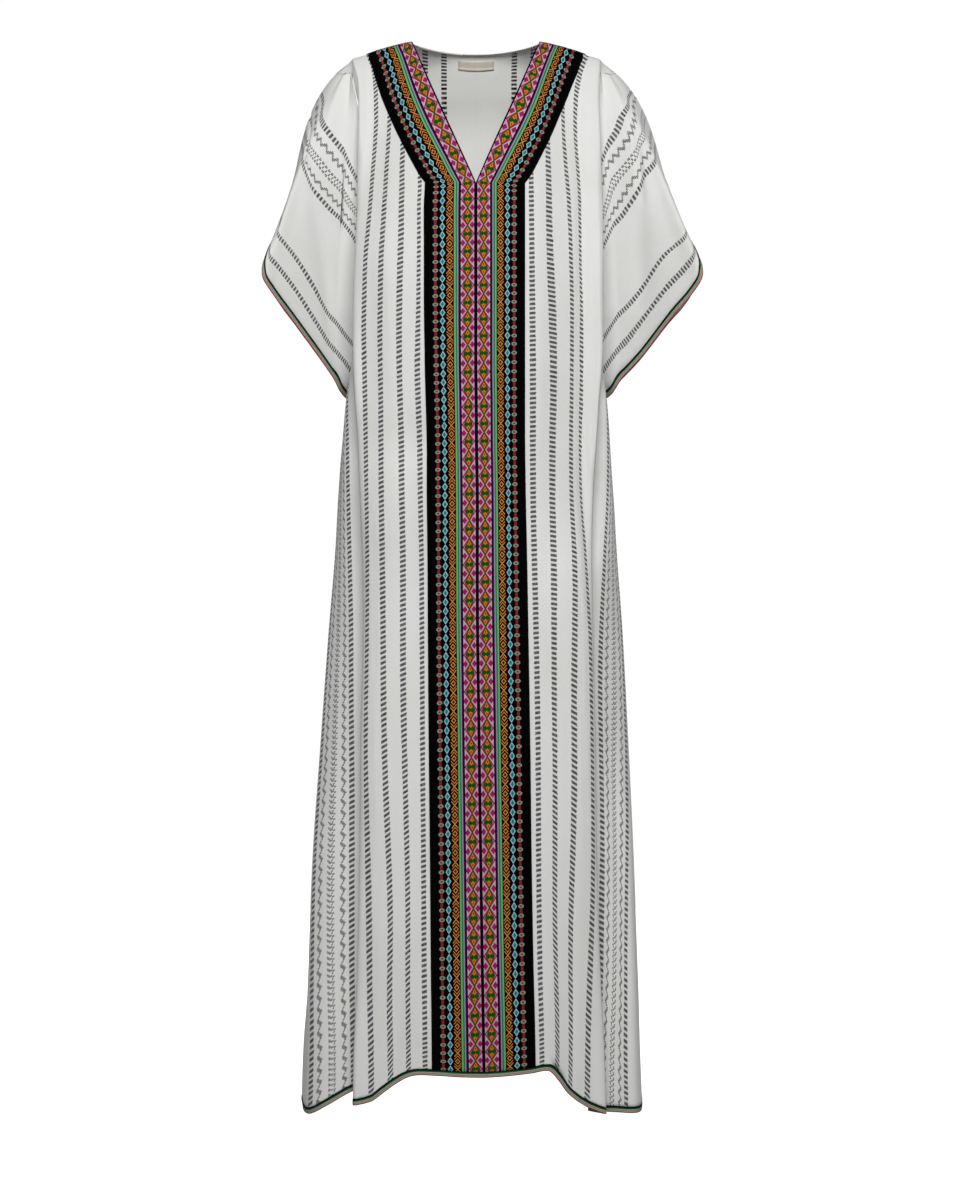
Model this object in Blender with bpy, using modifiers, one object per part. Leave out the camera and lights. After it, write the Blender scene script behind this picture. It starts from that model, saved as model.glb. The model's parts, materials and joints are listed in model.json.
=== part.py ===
"""A long kaftan with cut-on sleeves, filled out as if worn and hanging from its shoulders.

Metres, +Z up, the front faces -Y and +X is the viewer's right. The origin is the point between the two
ends of the neckline, level with the top of the shoulders.

The cloth is described on its flat cut: s is the distance from the centre line of a panel and t is the
distance down the cloth from the shoulder line. Every panel is a surface of places for its flat points.
"""

import math

import bmesh
import bpy
from mathutils import Vector

# Walls and seams
WALL = 0.0015
TRIM_WALL = 0.0010
LABEL_WALL = 0.0008
SEAM_GAP = 0.0008
LIE_GAP = 0.0003
EDGE_GAP = 0.0013

# Cut of the body
NECK_HALF = 0.087
NECK_DROP = 0.2045
BACK_NECK_DROP = 0.016
BACK_NECK_DEPTH = 0.048
BAND_WIDTH = 0.066
FIRST_STRIPE = 0.076
FOURTH_STRIPE = 0.154
FIFTH_STRIPE = 0.242
SIXTH_STRIPE = 0.299
SIDE_SEAM = 0.335
EDGE_TRIM = 0.0085

# Cut and hang of the sleeves
APEX_S = 0.172
APEX = Vector((0.168, 0.0, -0.024))
CUFF_S = 0.436
BACK_DEPTH = 0.92

# Shares and angles of the drape
DEPTH_SHARE = 0.8
HEM_DEPTH_SHARE = 0.6
BEHIND_TUCK = 1.2
BACK_STRIPES = (0.0755, 0.1480)
SHOULDER_FADE = 0.30
FADE_IN = 0.25
FOLD_EDGE_SLOPE = 0.1
NECK_FADE = 0.06
BACK_SWELL = 0.8
SWELL_SAG = 0.45
TUCK_INWARD = 0.75
DEPTH_FADE_TOP = -0.7
DEPTH_FADE_RUN = 0.7
HEM_BLEND_POWER = 1.5
HEM_BLEND_TOP = -0.95
HEM_LEVEL = -1.425

LEFT, RIGHT = -1, 1

# Places along the wall above the underarm, from the fold to the armhole, and how much of its swell each has
WALL_SWELLS = (
    (0.22, 0.5),
    (0.45, 0.9),
    (0.75, 0.6),
)

# Top edge of the shoulders, from the neck outwards: flat distance, place across, height
SHOULDER = (
    (0.087, 0.087, 0.0),
    (0.107, 0.107, -0.004),
    (0.137, 0.136, -0.012),
    (0.160, 0.157, -0.020),
    (0.172, 0.168, -0.024),
    (0.183, 0.178, -0.0285),
    (0.197, 0.1905, -0.0365),
)

# The band across the cut, from the point of the neck up to the shoulder: share of the way, width
NECK_BAND = (
    (0.00, 0.0665),
    (0.05, 0.0700),
    (0.25, 0.0765),
    (0.42, 0.0825),
    (0.60, 0.0850),
    (0.72, 0.0828),
    (0.84, 0.0775),
    (0.95, 0.0690),
    (1.00, 0.0625),
)

# The armhole fold, from the shoulder to the underarm: flat s and t, then its place in front. The places of
# the first three rows lie on an arc round the shoulder point, which the sleeve shares
ARMHOLE = (
    (0.1970, 0.0000, 0.1892, 0.0000, -0.0411),
    (0.1937, 0.0125, 0.1814, -0.0124, -0.0432),
    (0.1860, 0.0207, 0.1693, -0.0136, -0.0417),
    (0.1875, 0.0400, 0.1660, -0.0270, -0.0480),
    (0.1900, 0.0600, 0.1630, -0.0360, -0.0640),
    (0.1930, 0.1000, 0.1550, -0.0460, -0.0940),
    (0.2050, 0.1600, 0.1320, -0.0640, -0.1430),
    (0.2254, 0.2452, 0.1119, -0.0724, -0.2145),
    (0.2360, 0.2800, 0.1060, -0.0720, -0.2500),
    (0.2560, 0.3400, 0.1010, -0.0580, -0.3080),
    (0.2850, 0.4000, 0.1030, -0.0380, -0.3680),
    (0.3150, 0.4450, 0.1090, -0.0190, -0.4120),
    (0.3350, 0.4650, 0.1120, 0.0000, -0.4250),
)
UNDERARM_ROW = len(ARMHOLE) - 1
NECK_POINT_ROW = 7

# How far the cloth stands in front and behind, and how far it has dropped, at each armhole row
FRONT_PROFILE = (
    (0.0000, 0.0000),
    (0.0120, 0.0010),
    (0.0195, 0.0035),
    (0.0365, 0.0180),
    (0.0510, 0.0350),
    (0.0750, 0.0680),
    (0.1040, 0.1230),
    (0.1308, 0.2045),
    (0.1370, 0.2380),
    (0.1430, 0.2980),
    (0.1450, 0.3570),
    (0.1450, 0.4020),
    (0.1450, 0.4220),
)
BACK_PROFILE = (
    (0.0000, 0.0000),
    (0.0120, 0.0010),
    (0.0195, 0.0030),
    (0.0375, 0.0140),
    (0.0530, 0.0270),
    (0.0780, 0.0580),
    (0.1030, 0.1120),
    (0.1172, 0.1972),
    (0.1180, 0.2320),
    (0.1170, 0.2920),
    (0.1140, 0.3520),
    (0.1120, 0.3970),
    (0.1110, 0.4170),
)

# Across the front above the underarm, one row for each armhole row and side: place of the first stripe,
# place of the fourth stripe, flat place of the fold's edge, place of that edge, outward swell of the wall
UPPER_SECTIONS = {
    LEFT: (
        (0.0760, 0.1515, 0.172, 0.1680, 0.0),
        (0.0760, 0.1500, 0.172, 0.1672, 0.0),
        (0.0760, 0.1490, 0.172, 0.1665, 0.0),
        (0.0760, 0.1440, 0.173, 0.1630, 0.0),
        (0.0760, 0.1400, 0.174, 0.1590, 0.0),
        (0.0760, 0.1375, 0.176, 0.1570, 0.0),
        (0.0760, 0.1370, 0.177, 0.1570, 0.0),
        (0.0764, 0.1420, 0.177, 0.1580, 0.0),
        (0.0780, 0.1442, 0.177, 0.1580, 0.0),
        (0.0780, 0.1480, 0.176, 0.1600, 0.006),
        (0.0780, 0.1480, 0.175, 0.1620, 0.016),
        (0.0775, 0.1480, 0.174, 0.1625, 0.026),
        (0.0770, 0.1478, 0.173, 0.1625, 0.029),
    ),
    RIGHT: (
        (0.0760, 0.1515, 0.172, 0.1680, 0.0),
        (0.0760, 0.1500, 0.173, 0.1678, 0.0),
        (0.0760, 0.1485, 0.174, 0.1675, 0.0),
        (0.0758, 0.1435, 0.178, 0.1670, 0.0),
        (0.0755, 0.1390, 0.182, 0.1660, 0.0),
        (0.0750, 0.1340, 0.185, 0.1650, 0.0),
        (0.0745, 0.1330, 0.187, 0.1665, 0.0),
        (0.0740, 0.1385, 0.187, 0.1683, 0.0),
        (0.0740, 0.1395, 0.187, 0.1690, 0.0),
        (0.0740, 0.1405, 0.185, 0.1690, 0.006),
        (0.0740, 0.1415, 0.183, 0.1690, 0.016),
        (0.0740, 0.1415, 0.181, 0.1690, 0.026),
        (0.0740, 0.1415, 0.180, 0.1685, 0.029),
    ),
}

# Across the panels below the underarm, a row for each level: height, depth in front, drift of the centre
# line, then places of the first stripe, fourth stripe, fold edge (flat and real), fifth stripe, sixth
# stripe and side seam, depth of the fold behind its edge, and depths of fifth and sixth stripe
LOWER_SECTIONS = {
    LEFT: (
        (-0.455, 0.145, 0.0000, 0.0765, 0.1475, 0.172, 0.1620, 0.1690, 0.1560, 0.1330, 0.008, -0.062, -0.030),
        (-0.490, 0.145, 0.0005, 0.0755, 0.1470, 0.171, 0.1600, 0.1720, 0.1700, 0.1560, 0.016, -0.070, -0.036),
        (-0.550, 0.145, 0.0010, 0.0740, 0.1467, 0.170, 0.1560, 0.1725, 0.1800, 0.1750, 0.026, -0.068, -0.034),
        (-0.620, 0.145, 0.0020, 0.0740, 0.1460, 0.169, 0.1530, 0.1715, 0.1850, 0.1820, 0.028, -0.068, -0.034),
        (-0.700, 0.145, 0.0020, 0.0730, 0.1450, 0.168, 0.1500, 0.1695, 0.1890, 0.1880, 0.030, -0.069, -0.034),
        (-0.800, 0.145, 0.0025, 0.0725, 0.1445, 0.168, 0.1490, 0.1665, 0.1965, 0.1960, 0.031, -0.072, -0.036),
        (-0.950, 0.147, 0.0045, 0.0715, 0.1455, 0.170, 0.1520, 0.1650, 0.2060, 0.2070, 0.032, -0.080, -0.046),
        (-1.100, 0.150, 0.0065, 0.0700, 0.1440, 0.171, 0.1530, 0.1640, 0.2150, 0.2165, 0.032, -0.092, -0.066),
        (-1.250, 0.154, 0.0085, 0.0690, 0.1425, 0.174, 0.1560, 0.1630, 0.2180, 0.2255, 0.031, -0.104, -0.078),
        (-1.350, 0.157, 0.0100, 0.0680, 0.1405, 0.177, 0.1605, 0.1610, 0.2180, 0.2335, 0.030, -0.112, -0.084),
        (-1.425, 0.159, 0.0110, 0.0675, 0.1400, 0.178, 0.1615, 0.1600, 0.2200, 0.2360, 0.030, -0.116, -0.088),
    ),
    RIGHT: (
        (-0.455, 0.145, 0.0000, 0.0740, 0.1415, 0.178, 0.1670, 0.1710, 0.1560, 0.1330, 0.008, -0.062, -0.030),
        (-0.490, 0.145, -0.0005, 0.0740, 0.1415, 0.176, 0.1640, 0.1740, 0.1700, 0.1560, 0.016, -0.070, -0.036),
        (-0.550, 0.145, -0.0010, 0.0740, 0.1415, 0.174, 0.1600, 0.1755, 0.1795, 0.1745, 0.026, -0.068, -0.034),
        (-0.620, 0.145, -0.0020, 0.0750, 0.1430, 0.172, 0.1560, 0.1740, 0.1850, 0.1820, 0.028, -0.068, -0.034),
        (-0.700, 0.145, -0.0020, 0.0770, 0.1480, 0.169, 0.1540, 0.1690, 0.1890, 0.1880, 0.030, -0.069, -0.034),
        (-0.800, 0.145, -0.0025, 0.0790, 0.1510, 0.168, 0.1550, 0.1660, 0.1955, 0.1950, 0.032, -0.072, -0.036),
        (-0.950, 0.147, -0.0045, 0.0815, 0.1530, 0.168, 0.1580, 0.1670, 0.2025, 0.2030, 0.034, -0.080, -0.046),
        (-1.100, 0.150, -0.0065, 0.0830, 0.1540, 0.170, 0.1600, 0.1710, 0.2080, 0.2110, 0.034, -0.092, -0.066),
        (-1.250, 0.154, -0.0085, 0.0850, 0.1520, 0.176, 0.1650, 0.1720, 0.2110, 0.2190, 0.032, -0.104, -0.078),
        (-1.350, 0.157, -0.0100, 0.0870, 0.1510, 0.180, 0.1700, 0.1690, 0.2130, 0.2220, 0.030, -0.112, -0.084),
        (-1.425, 0.159, -0.0110, 0.0880, 0.1500, 0.181, 0.1720, 0.1680, 0.2150, 0.2250, 0.030, -0.116, -0.088),
    ),
}

# How far the back stands behind the shoulders, from the underarm to the hem, at the same levels
BACK_DEPTHS = (0.111, 0.110, 0.111, 0.113, 0.116, 0.120, 0.128, 0.136, 0.143, 0.147, 0.150)

# Hem line: flat distance, then its height in front on each side, and behind
HEM = (
    (0.0000, -1.3810, -1.3810, -1.400),
    (0.0300, -1.3805, -1.3790, -1.400),
    (0.0600, -1.3785, -1.3755, -1.400),
    (0.0850, -1.3780, -1.3730, -1.401),
    (0.0990, -1.3815, -1.3850, -1.402),
    (0.1160, -1.3906, -1.4030, -1.404),
    (0.1330, -1.4024, -1.4150, -1.407),
    (0.1500, -1.4142, -1.4240, -1.410),
    (0.1780, -1.4200, -1.4340, -1.416),
    (0.2100, -1.4120, -1.4340, -1.420),
    (0.2420, -1.4056, -1.4360, -1.422),
    (0.2705, -1.4245, -1.4370, -1.425),
    (0.2990, -1.4386, -1.4370, -1.430),
    (0.3350, -1.4340, -1.4360, -1.434),
)

# Rays of the sleeve from the shoulder point to the cuff: angle on the flat cut from straight down, place
# of the ray's end across on the left and on the right, in front and down, and how far its middle swells
SLEEVE_RAYS = (
    (34.0, 0.1930, 0.1980, -0.032, -0.4550, 0.040),
    (38.0, 0.2130, 0.2250, -0.052, -0.4260, 0.037),
    (44.0, 0.2480, 0.2620, -0.085, -0.3780, 0.031),
    (49.0, 0.2695, 0.2870, -0.104, -0.3490, 0.022),
    (54.0, 0.2830, 0.3005, -0.115, -0.3245, 0.015),
    (61.0, 0.2790, 0.2955, -0.094, -0.2960, 0.015),
    (72.0, 0.2722, 0.2875, -0.056, -0.2770, 0.019),
    (82.0, 0.2685, 0.2822, -0.022, -0.2660, 0.022),
    (90.0, 0.2672, 0.2805, 0.000, -0.2620, 0.024),
)
CUFF_BOTTOM = Vector((0.174, 0.0, -0.484))
CUFF_BOTTOM_T = 0.435
SLEEVE_ROWS_PAST_UNDERARM = 3
MERGE = 1e-5
SWELL_SCALE = 6.75
SWELL_ACROSS = 0.91
SWELL_UP = 0.41
ARC = 0.025
LEAST_SLANT = 0.62
ARC_GAP = 0.0022
UNDERARM_LIFT = 0.003
KEEL = Vector((0.0, 0.006, -0.004))

BAND_COLUMNS = 3
PLANE_COLUMNS = 7
WALL_STATION_STEPS = (2, 2, 2, 2)
SAMPLES = 24

# Small pieces
LABEL_HALF = 0.0235
LABEL_TOP = 0.010
LABEL_BOTTOM = 0.024
LABEL_ROWS = 3
BINDING_HALF = 0.078
BINDING_HEIGHT = 0.006
BINDING_STEPS = 16


def mix(a, b, share):
    return a + (b - a) * share


def through(values, place):
    """The value at a place on a smooth curve through evenly numbered values, numbers or rows of them."""
    last = len(values) - 1
    i = min(max(int(math.floor(place)), 0), last - 1)
    f = place - i
    p = [values[min(max(i + k, 0), last)] for k in (-1, 0, 1, 2)]

    def one(a, b, c, d):
        square = 2 * a - 5 * b + 4 * c - d
        cube = 3 * (b - c) + d - a
        return 0.5 * (2 * b + (c - a) * f + square * f**2 + cube * f**3)

    if isinstance(p[0], (int, float)):
        return one(*p)
    return tuple(one(*parts) for parts in zip(*p))


def looked_up(rows, key, column):
    """A column of a table at a key between its rows, whose first column rises."""
    if key <= rows[0][0]:
        return rows[0][column]
    for low, high in zip(rows, rows[1:]):
        if key <= high[0]:
            return mix(low[column], high[column], (key - low[0]) / (high[0] - low[0]))
    return rows[-1][column]


def hermite(x0, y0, m0, x1, y1, m1, x):
    h = x1 - x0
    f = (x - x0) / h
    return (
        (2 * f**3 - 3 * f**2 + 1) * y0
        + (f**3 - 2 * f**2 + f) * h * m0
        + (3 * f**2 - 2 * f**3) * y1
        + (f**3 - f**2) * h * m1
    )


def across(s, centre, first, fourth, fold_s, fold_x):
    """Place across a section of the point at flat distance s, up to the edge of the fold."""
    slope = (fourth - first) / (FOURTH_STRIPE - FIRST_STRIPE)
    inner = (first - centre) / FIRST_STRIPE
    if s <= FIRST_STRIPE:
        return hermite(0.0, centre, inner, FIRST_STRIPE, first, 0.5 * (inner + slope), s)
    if s <= FOURTH_STRIPE:
        outer = 0.5 * (slope + (fold_x - fourth) / (fold_s - FOURTH_STRIPE))
        return hermite(FIRST_STRIPE, first, 0.5 * (inner + slope), FOURTH_STRIPE, fourth, outer, s)
    outer = 0.5 * (slope + (fold_x - fourth) / (fold_s - FOURTH_STRIPE))
    return hermite(FOURTH_STRIPE, fourth, outer, fold_s, fold_x, FOLD_EDGE_SLOPE, s)


def setback(s, centre, first, fourth, fold_s, fold_x):
    """How far the section has turned back at flat distance s, from the cloth's own width."""
    depth = 0.0
    step = s / SAMPLES
    before = centre
    for k in range(SAMPLES):
        after = across((k + 1) * step, centre, first, fourth, fold_s, fold_x)
        depth += math.sqrt(max(0.0, step * step - (after - before) ** 2))
        before = after
    return depth


def band_edges(row, drop):
    """Flat distances of the neckline and of the band's outer edge at a row."""
    if row >= NECK_POINT_ROW:
        return 0.0, BAND_WIDTH
    share = 1.0 - drop / NECK_DROP
    inner = NECK_HALF * share
    return inner, inner + looked_up(NECK_BAND, share, 1)


def wall_points(fold, mid_a, mid_b, mid_c, end):
    """The columns from the fold's edge to the panel's outer edge."""
    stations = [fold, mid_a, mid_b, mid_c, end]
    points = []
    for k, steps in enumerate(WALL_STATION_STEPS):
        for j in range(steps):
            points.append(Vector(through([tuple(p) for p in stations], k + j / steps)))
    points.append(Vector(end))
    return points[1:]


def off_seam(run):
    """How far the end of a wall that runs this way stays off a seam in the plane between front and back."""
    length = run.length
    return SEAM_GAP / 2 + WALL / 2 * math.sqrt(max(0.0, 1.0 - (run.y / length) ** 2))


def armhole_point(row, front):
    s, t, x, y, z = ARMHOLE[row]
    return Vector((x, y if front else -y * BACK_DEPTH, z))


def upper_row(row, side, front):
    """Points of one side of a panel, centre to armhole fold, at a row above the underarm."""
    t = ARMHOLE[row][1]
    forward, drop = (FRONT_PROFILE if front else BACK_PROFILE)[row]
    first, fourth, fold_s, fold_x, swell = UPPER_SECTIONS[side][row]
    inner_s, band_s = band_edges(row, drop)
    if not front:
        inner_s, band_s = 0.0, BAND_WIDTH
        first, fourth = max(first, BACK_STRIPES[0]), max(fourth, BACK_STRIPES[1])
    facing = -1.0 if front else 1.0
    turn_share = min(1.0, t / FADE_IN)
    slope_share = max(0.0, 1.0 - t / SHOULDER_FADE)
    sizes = (0.0, first, fourth, fold_s, fold_x)
    flat = [mix(inner_s, band_s, k / BAND_COLUMNS) for k in range(BAND_COLUMNS)]
    flat += [mix(band_s, fold_s, k / PLANE_COLUMNS) for k in range(PLANE_COLUMNS + 1)]
    points = []
    for s in flat:
        x = across(s, *sizes)
        y = facing * (forward - turn_share * DEPTH_SHARE * setback(s, *sizes))
        z = slope_share * looked_up(SHOULDER, s, 2) - drop
        if row == 0:
            y = facing * off_seam(Vector((0.0, FRONT_PROFILE[1][0], FRONT_PROFILE[1][1])))
            x = looked_up(SHOULDER, s, 1) if s > NECK_HALF else s
        if not front and s < NECK_HALF:
            hollow = 1.0 - (s / NECK_HALF) ** 2
            fade = max(0.0, 1.0 - drop / NECK_FADE)
            z = mix(z, -BACK_NECK_DROP * hollow - drop * 0.9, fade)
            y = mix(y, BACK_NECK_DEPTH * hollow**0.7 + y * (1.0 - 0.5 * hollow), fade)
        points.append(Vector((x, y, z)))
    fold = points[-1]
    swell *= 1.0 if front else BACK_SWELL
    end = armhole_point(row, front)
    if row == 0:
        end.y = fold.y
    run = end - fold
    out = Vector((-facing * run.y, facing * run.x, 0.0))
    out = out.normalized() if out.length > 1e-6 else out
    mids = [fold + run * share + out * swell * lift for share, lift in WALL_SWELLS]
    for mid, (share, lift) in zip(mids, WALL_SWELLS):
        mid.z -= SWELL_SAG * swell * lift
    if row == UNDERARM_ROW:
        end.y = facing * off_seam(end - mids[-1])
    return points + wall_points(fold, *mids, end)


def lower_row(level, side, front):
    """Points of one side of a panel, centre to side seam, at a level below the underarm."""
    rows = LOWER_SECTIONS[side]
    z, forward, drift, first, fourth, fold_s, fold_x, *behind = through(rows, level)
    fifth, sixth, seam, tuck, fifth_y, sixth_y = behind
    if not front:
        forward = through(BACK_DEPTHS, level)
        fifth_y *= BACK_DEPTH
        sixth_y *= BACK_DEPTH
        drift = 0.0
        first, fourth = BACK_STRIPES
    facing = -1.0 if front else 1.0
    fade = min(1.0, max(0.0, (DEPTH_FADE_TOP - z) / DEPTH_FADE_RUN))
    depth_share = mix(DEPTH_SHARE, HEM_DEPTH_SHARE, fade)
    sizes = (-drift if front else 0.0, first, fourth, fold_s, fold_x)
    flat = [mix(0.0, BAND_WIDTH, k / BAND_COLUMNS) for k in range(BAND_COLUMNS)]
    flat += [mix(BAND_WIDTH, fold_s, k / PLANE_COLUMNS) for k in range(PLANE_COLUMNS + 1)]
    blend = max(0.0, (HEM_BLEND_TOP - z) / (HEM_BLEND_TOP - HEM_LEVEL)) ** HEM_BLEND_POWER
    hem_column = (1 if side == LEFT else 2) if front else 3
    points = []

    def height(s):
        return z + blend * (looked_up(HEM, s, hem_column) - HEM_LEVEL)

    for s in flat:
        x = across(s, *sizes)
        y = facing * (forward - depth_share * setback(s, *sizes))
        points.append(Vector((x, y, height(s))))
    fold = points[-1]
    tucked_s = mix(fold_s, FIFTH_STRIPE, 0.5)
    fifth_depth = min(-fifth_y, abs(fold.y) - BEHIND_TUCK * tuck)
    tucked = Vector((fold.x - TUCK_INWARD * tuck, facing * (abs(fold.y) - tuck), height(tucked_s)))
    fifth_point = Vector((fifth, facing * fifth_depth, height(FIFTH_STRIPE)))
    sixth_point = Vector((sixth, -facing * sixth_y, height(SIXTH_STRIPE)))
    end = Vector((seam, 0.0, height(SIDE_SEAM)))
    end.y = facing * off_seam(end - sixth_point)
    return points + wall_points(fold, tucked, fifth_point, sixth_point, end)


def half_panel(side, front, levels):
    """Rows of points of one side of the front or back, top to hem, each from the centre outwards."""
    rows = [upper_row(row, side, front) for row in range(UNDERARM_ROW + 1)]
    rows += [lower_row(level, side, front) for level in levels]
    return [[Vector((side * p.x, p.y, p.z)) for p in row] for row in rows]


def normals_of(grid, flip):
    """Outward directions at a grid's points."""
    found = []
    last_row, last_column = len(grid) - 1, len(grid[0]) - 1
    for r, row in enumerate(grid):
        line = []
        for c in range(len(row)):
            down = grid[min(r + 1, last_row)][c] - grid[max(r - 1, 0)][c]
            along = row[min(c + 1, last_column)] - row[max(c - 1, 0)]
            normal = down.cross(along)
            normal.normalize()
            line.append(-normal if flip else normal)
        found.append(line)
    return found


def moved_out(grid, flip, distance):
    """A copy of a grid moved along its outward directions."""
    normals = normals_of(grid, flip)
    return [[p + n * distance for p, n in zip(row, line)] for row, line in zip(grid, normals)]


def material(name, colour, roughness):
    found = bpy.data.materials.new(name)
    found.use_nodes = True
    shader = found.node_tree.nodes["Principled BSDF"]
    shader.inputs["Base Color"].default_value = (*colour, 1.0)
    shader.inputs["Roughness"].default_value = roughness
    shader.inputs["Metallic"].default_value = 0.0
    found.diffuse_color = (*colour, 1.0)
    return found


def cloth_object(name, grids, wall, finish, collection, merge=None):
    """An object from grids of points with a wall thickness. Each grid comes with whether its faces flip."""
    mesh = bpy.data.meshes.new(name)
    work = bmesh.new()
    for grid, flip in grids:
        vertices = [[work.verts.new(p) for p in row] for row in grid]
        for upper, lower in zip(vertices, vertices[1:]):
            for k in range(len(upper) - 1):
                face = [upper[k], lower[k], lower[k + 1], upper[k + 1]]
                work.faces.new(reversed(face) if flip else face)
    if merge:
        bmesh.ops.remove_doubles(work, verts=work.verts, dist=merge)
    work.to_mesh(mesh)
    work.free()
    mesh.shade_smooth()
    mesh.materials.append(finish)
    made = bpy.data.objects.new(name, mesh)
    collection.objects.link(made)
    solid = made.modifiers.new("Wall", "SOLIDIFY")
    solid.thickness = wall
    solid.offset = 0.0
    return made


def ray_point(angle, distance, side, front):
    """Place of the sleeve's cloth at an angle and a flat distance from the shoulder point."""
    columns = (1 if side == LEFT else 2, 3, 4)
    end = Vector([looked_up(SLEEVE_RAYS, angle, column) for column in columns])
    swell = looked_up(SLEEVE_RAYS, angle, 5)
    reach = distance / ((CUFF_S - APEX_S) / math.sin(math.radians(angle)))
    first, last = SLEEVE_RAYS[0][0], SLEEVE_RAYS[-1][0]
    turn = math.radians(90.0 * (last - angle) / (last - first))
    out = Vector((math.cos(turn) * SWELL_ACROSS, -math.sin(turn), SWELL_UP))
    out.normalize()
    point = APEX + (end - APEX) * reach + out * (swell * SWELL_SCALE * reach * (1.0 - reach) ** 2)
    if not front:
        point.y *= -BACK_DEPTH
    return point


def sleeve_inner_edge():
    """Flat points of the sleeve's inner edge: down the armhole fold, then along the underarm seam."""
    points = [row[:2] for row in ARMHOLE[2:]]
    for k in range(1, SLEEVE_ROWS_PAST_UNDERARM + 1):
        share = k / SLEEVE_ROWS_PAST_UNDERARM
        points.append((mix(SIDE_SEAM, CUFF_S, share), mix(ARMHOLE[-1][1], CUFF_BOTTOM_T, share)))
    return points


def sleeve_half(side, front):
    """Rows of a sleeve's half, shoulder to cuff, each from the fold or underarm seam to the top line."""
    edge = sleeve_inner_edge()
    lengths = [0.0]
    for before, after in zip(edge, edge[1:]):
        lengths.append(lengths[-1] + math.dist(before, after))
    facing = -1.0 if front else 1.0
    underarm = len(ARMHOLE) - 3
    start = ARC + ARC_GAP
    rows = []
    for k, length in enumerate(lengths):
        share = length / lengths[-1]
        rays = []
        for angle in [row[0] for row in SLEEVE_RAYS]:
            full = (CUFF_S - APEX_S) / math.sin(math.radians(angle))
            rays.append(ray_point(angle, mix(start, full, share), side, front))
        if k == 0:
            inner = rays[0].copy()
        elif k < underarm:
            row = k + 2
            fold = upper_row(row, side, front)[BAND_COLUMNS + PLANE_COLUMNS]
            inner = armhole_point(row, front)
            run = inner - fold
            out = Vector((-facing * run.y, facing * run.x, 0.0))
            inner = inner + out.normalized() * (WALL + SEAM_GAP)
            inner.z += UNDERARM_LIFT * max(0.0, min(1.0, (k - underarm + 3) / 2))
        else:
            past = (k - underarm) / SLEEVE_ROWS_PAST_UNDERARM
            seam_start = Vector((ARMHOLE[-1][2] + WALL + SEAM_GAP, 0.0, ARMHOLE[-1][4] + UNDERARM_LIFT))
            inner = seam_start + (CUFF_BOTTOM - seam_start) * past
        fullness = max(0.0, min(1.0, (k - underarm + 2) / 5))
        middle = (inner + rays[0]) / 2 + Vector((KEEL.x, facing * KEEL.y, KEEL.z)) * fullness
        rows.append([inner, middle] + rays)
    return rows


def sleeve_grid(side):
    """Rows around the whole sleeve, front fold over the top to back fold."""
    rows = []
    for front_line, back_line in zip(sleeve_half(side, True), sleeve_half(side, False)):
        line = front_line + back_line[-2::-1]
        rows.append([Vector((side * p.x, p.y, p.z)) for p in line])
    return rows


def back_neck_place(side_x, down):
    """Place on the back panel, at a place across and a distance below its neckline."""
    side = LEFT if side_x < 0.0 else RIGHT
    rows = [upper_row(row, side, False)[: BAND_COLUMNS + 1] for row in range(NECK_POINT_ROW)]
    columns = [[(p.x, p.y, p.z) for p in row] for row in rows]
    reach = abs(side_x)
    line = []
    for row in columns:
        for near, far in zip(row, row[1:]):
            if near[0] <= reach <= far[0]:
                share = (reach - near[0]) / (far[0] - near[0])
                line.append(Vector(near).lerp(Vector(far), share))
                break
        else:
            line.append(Vector(row[-1]))
    left = down
    for before, after in zip(line, line[1:]):
        step = (after - before).length
        if left <= step:
            place = before.lerp(after, left / step)
            return Vector((side_x, place.y, place.z))
        left -= step
    return line[-1]


def patch_on_back(half_width, top, bottom, rows, columns, distance):
    """A grid lying on the inside of the back panel, below its neckline."""
    grid = []
    for r in range(rows + 1):
        down = mix(top, bottom, r / rows)
        places = [mix(-half_width, half_width, c / columns) for c in range(columns + 1)]
        grid.append([back_neck_place(place, down) for place in places])
    return moved_out(grid, False, distance)


def parted_edge(grid):
    """A grid cut short at its last row, and the strip that carries on from it to the finished edge."""
    edge = grid[-1]
    last = len(edge) - 1
    cut, top = [], []
    for k, at in enumerate(edge):
        inward = (grid[-2][k] - at).normalized()
        slants = []
        for other in (max(k - 1, 0), min(k + 1, last)):
            if other != k:
                slants.append((edge[other] - at).normalized().cross(inward).length)
        slant = max(LEAST_SLANT, sum(slants) / len(slants))
        cut.append(at + inward * ((EDGE_TRIM + EDGE_GAP) / slant))
        top.append(at + inward * (EDGE_TRIM / slant))
    return grid[:-1] + [cut], [top, edge]


def clear_scene():
    for thing in list(bpy.data.objects):
        bpy.data.objects.remove(thing, do_unlink=True)


def levels_of(steps):
    """Levels below the underarm: each table row, with more between the long steps."""
    levels = []
    for k in range(len(BACK_DEPTHS)):
        levels.append(float(k))
        if k >= steps and k < len(BACK_DEPTHS) - 1:
            levels.append(k + 0.5)
    return levels


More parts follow.
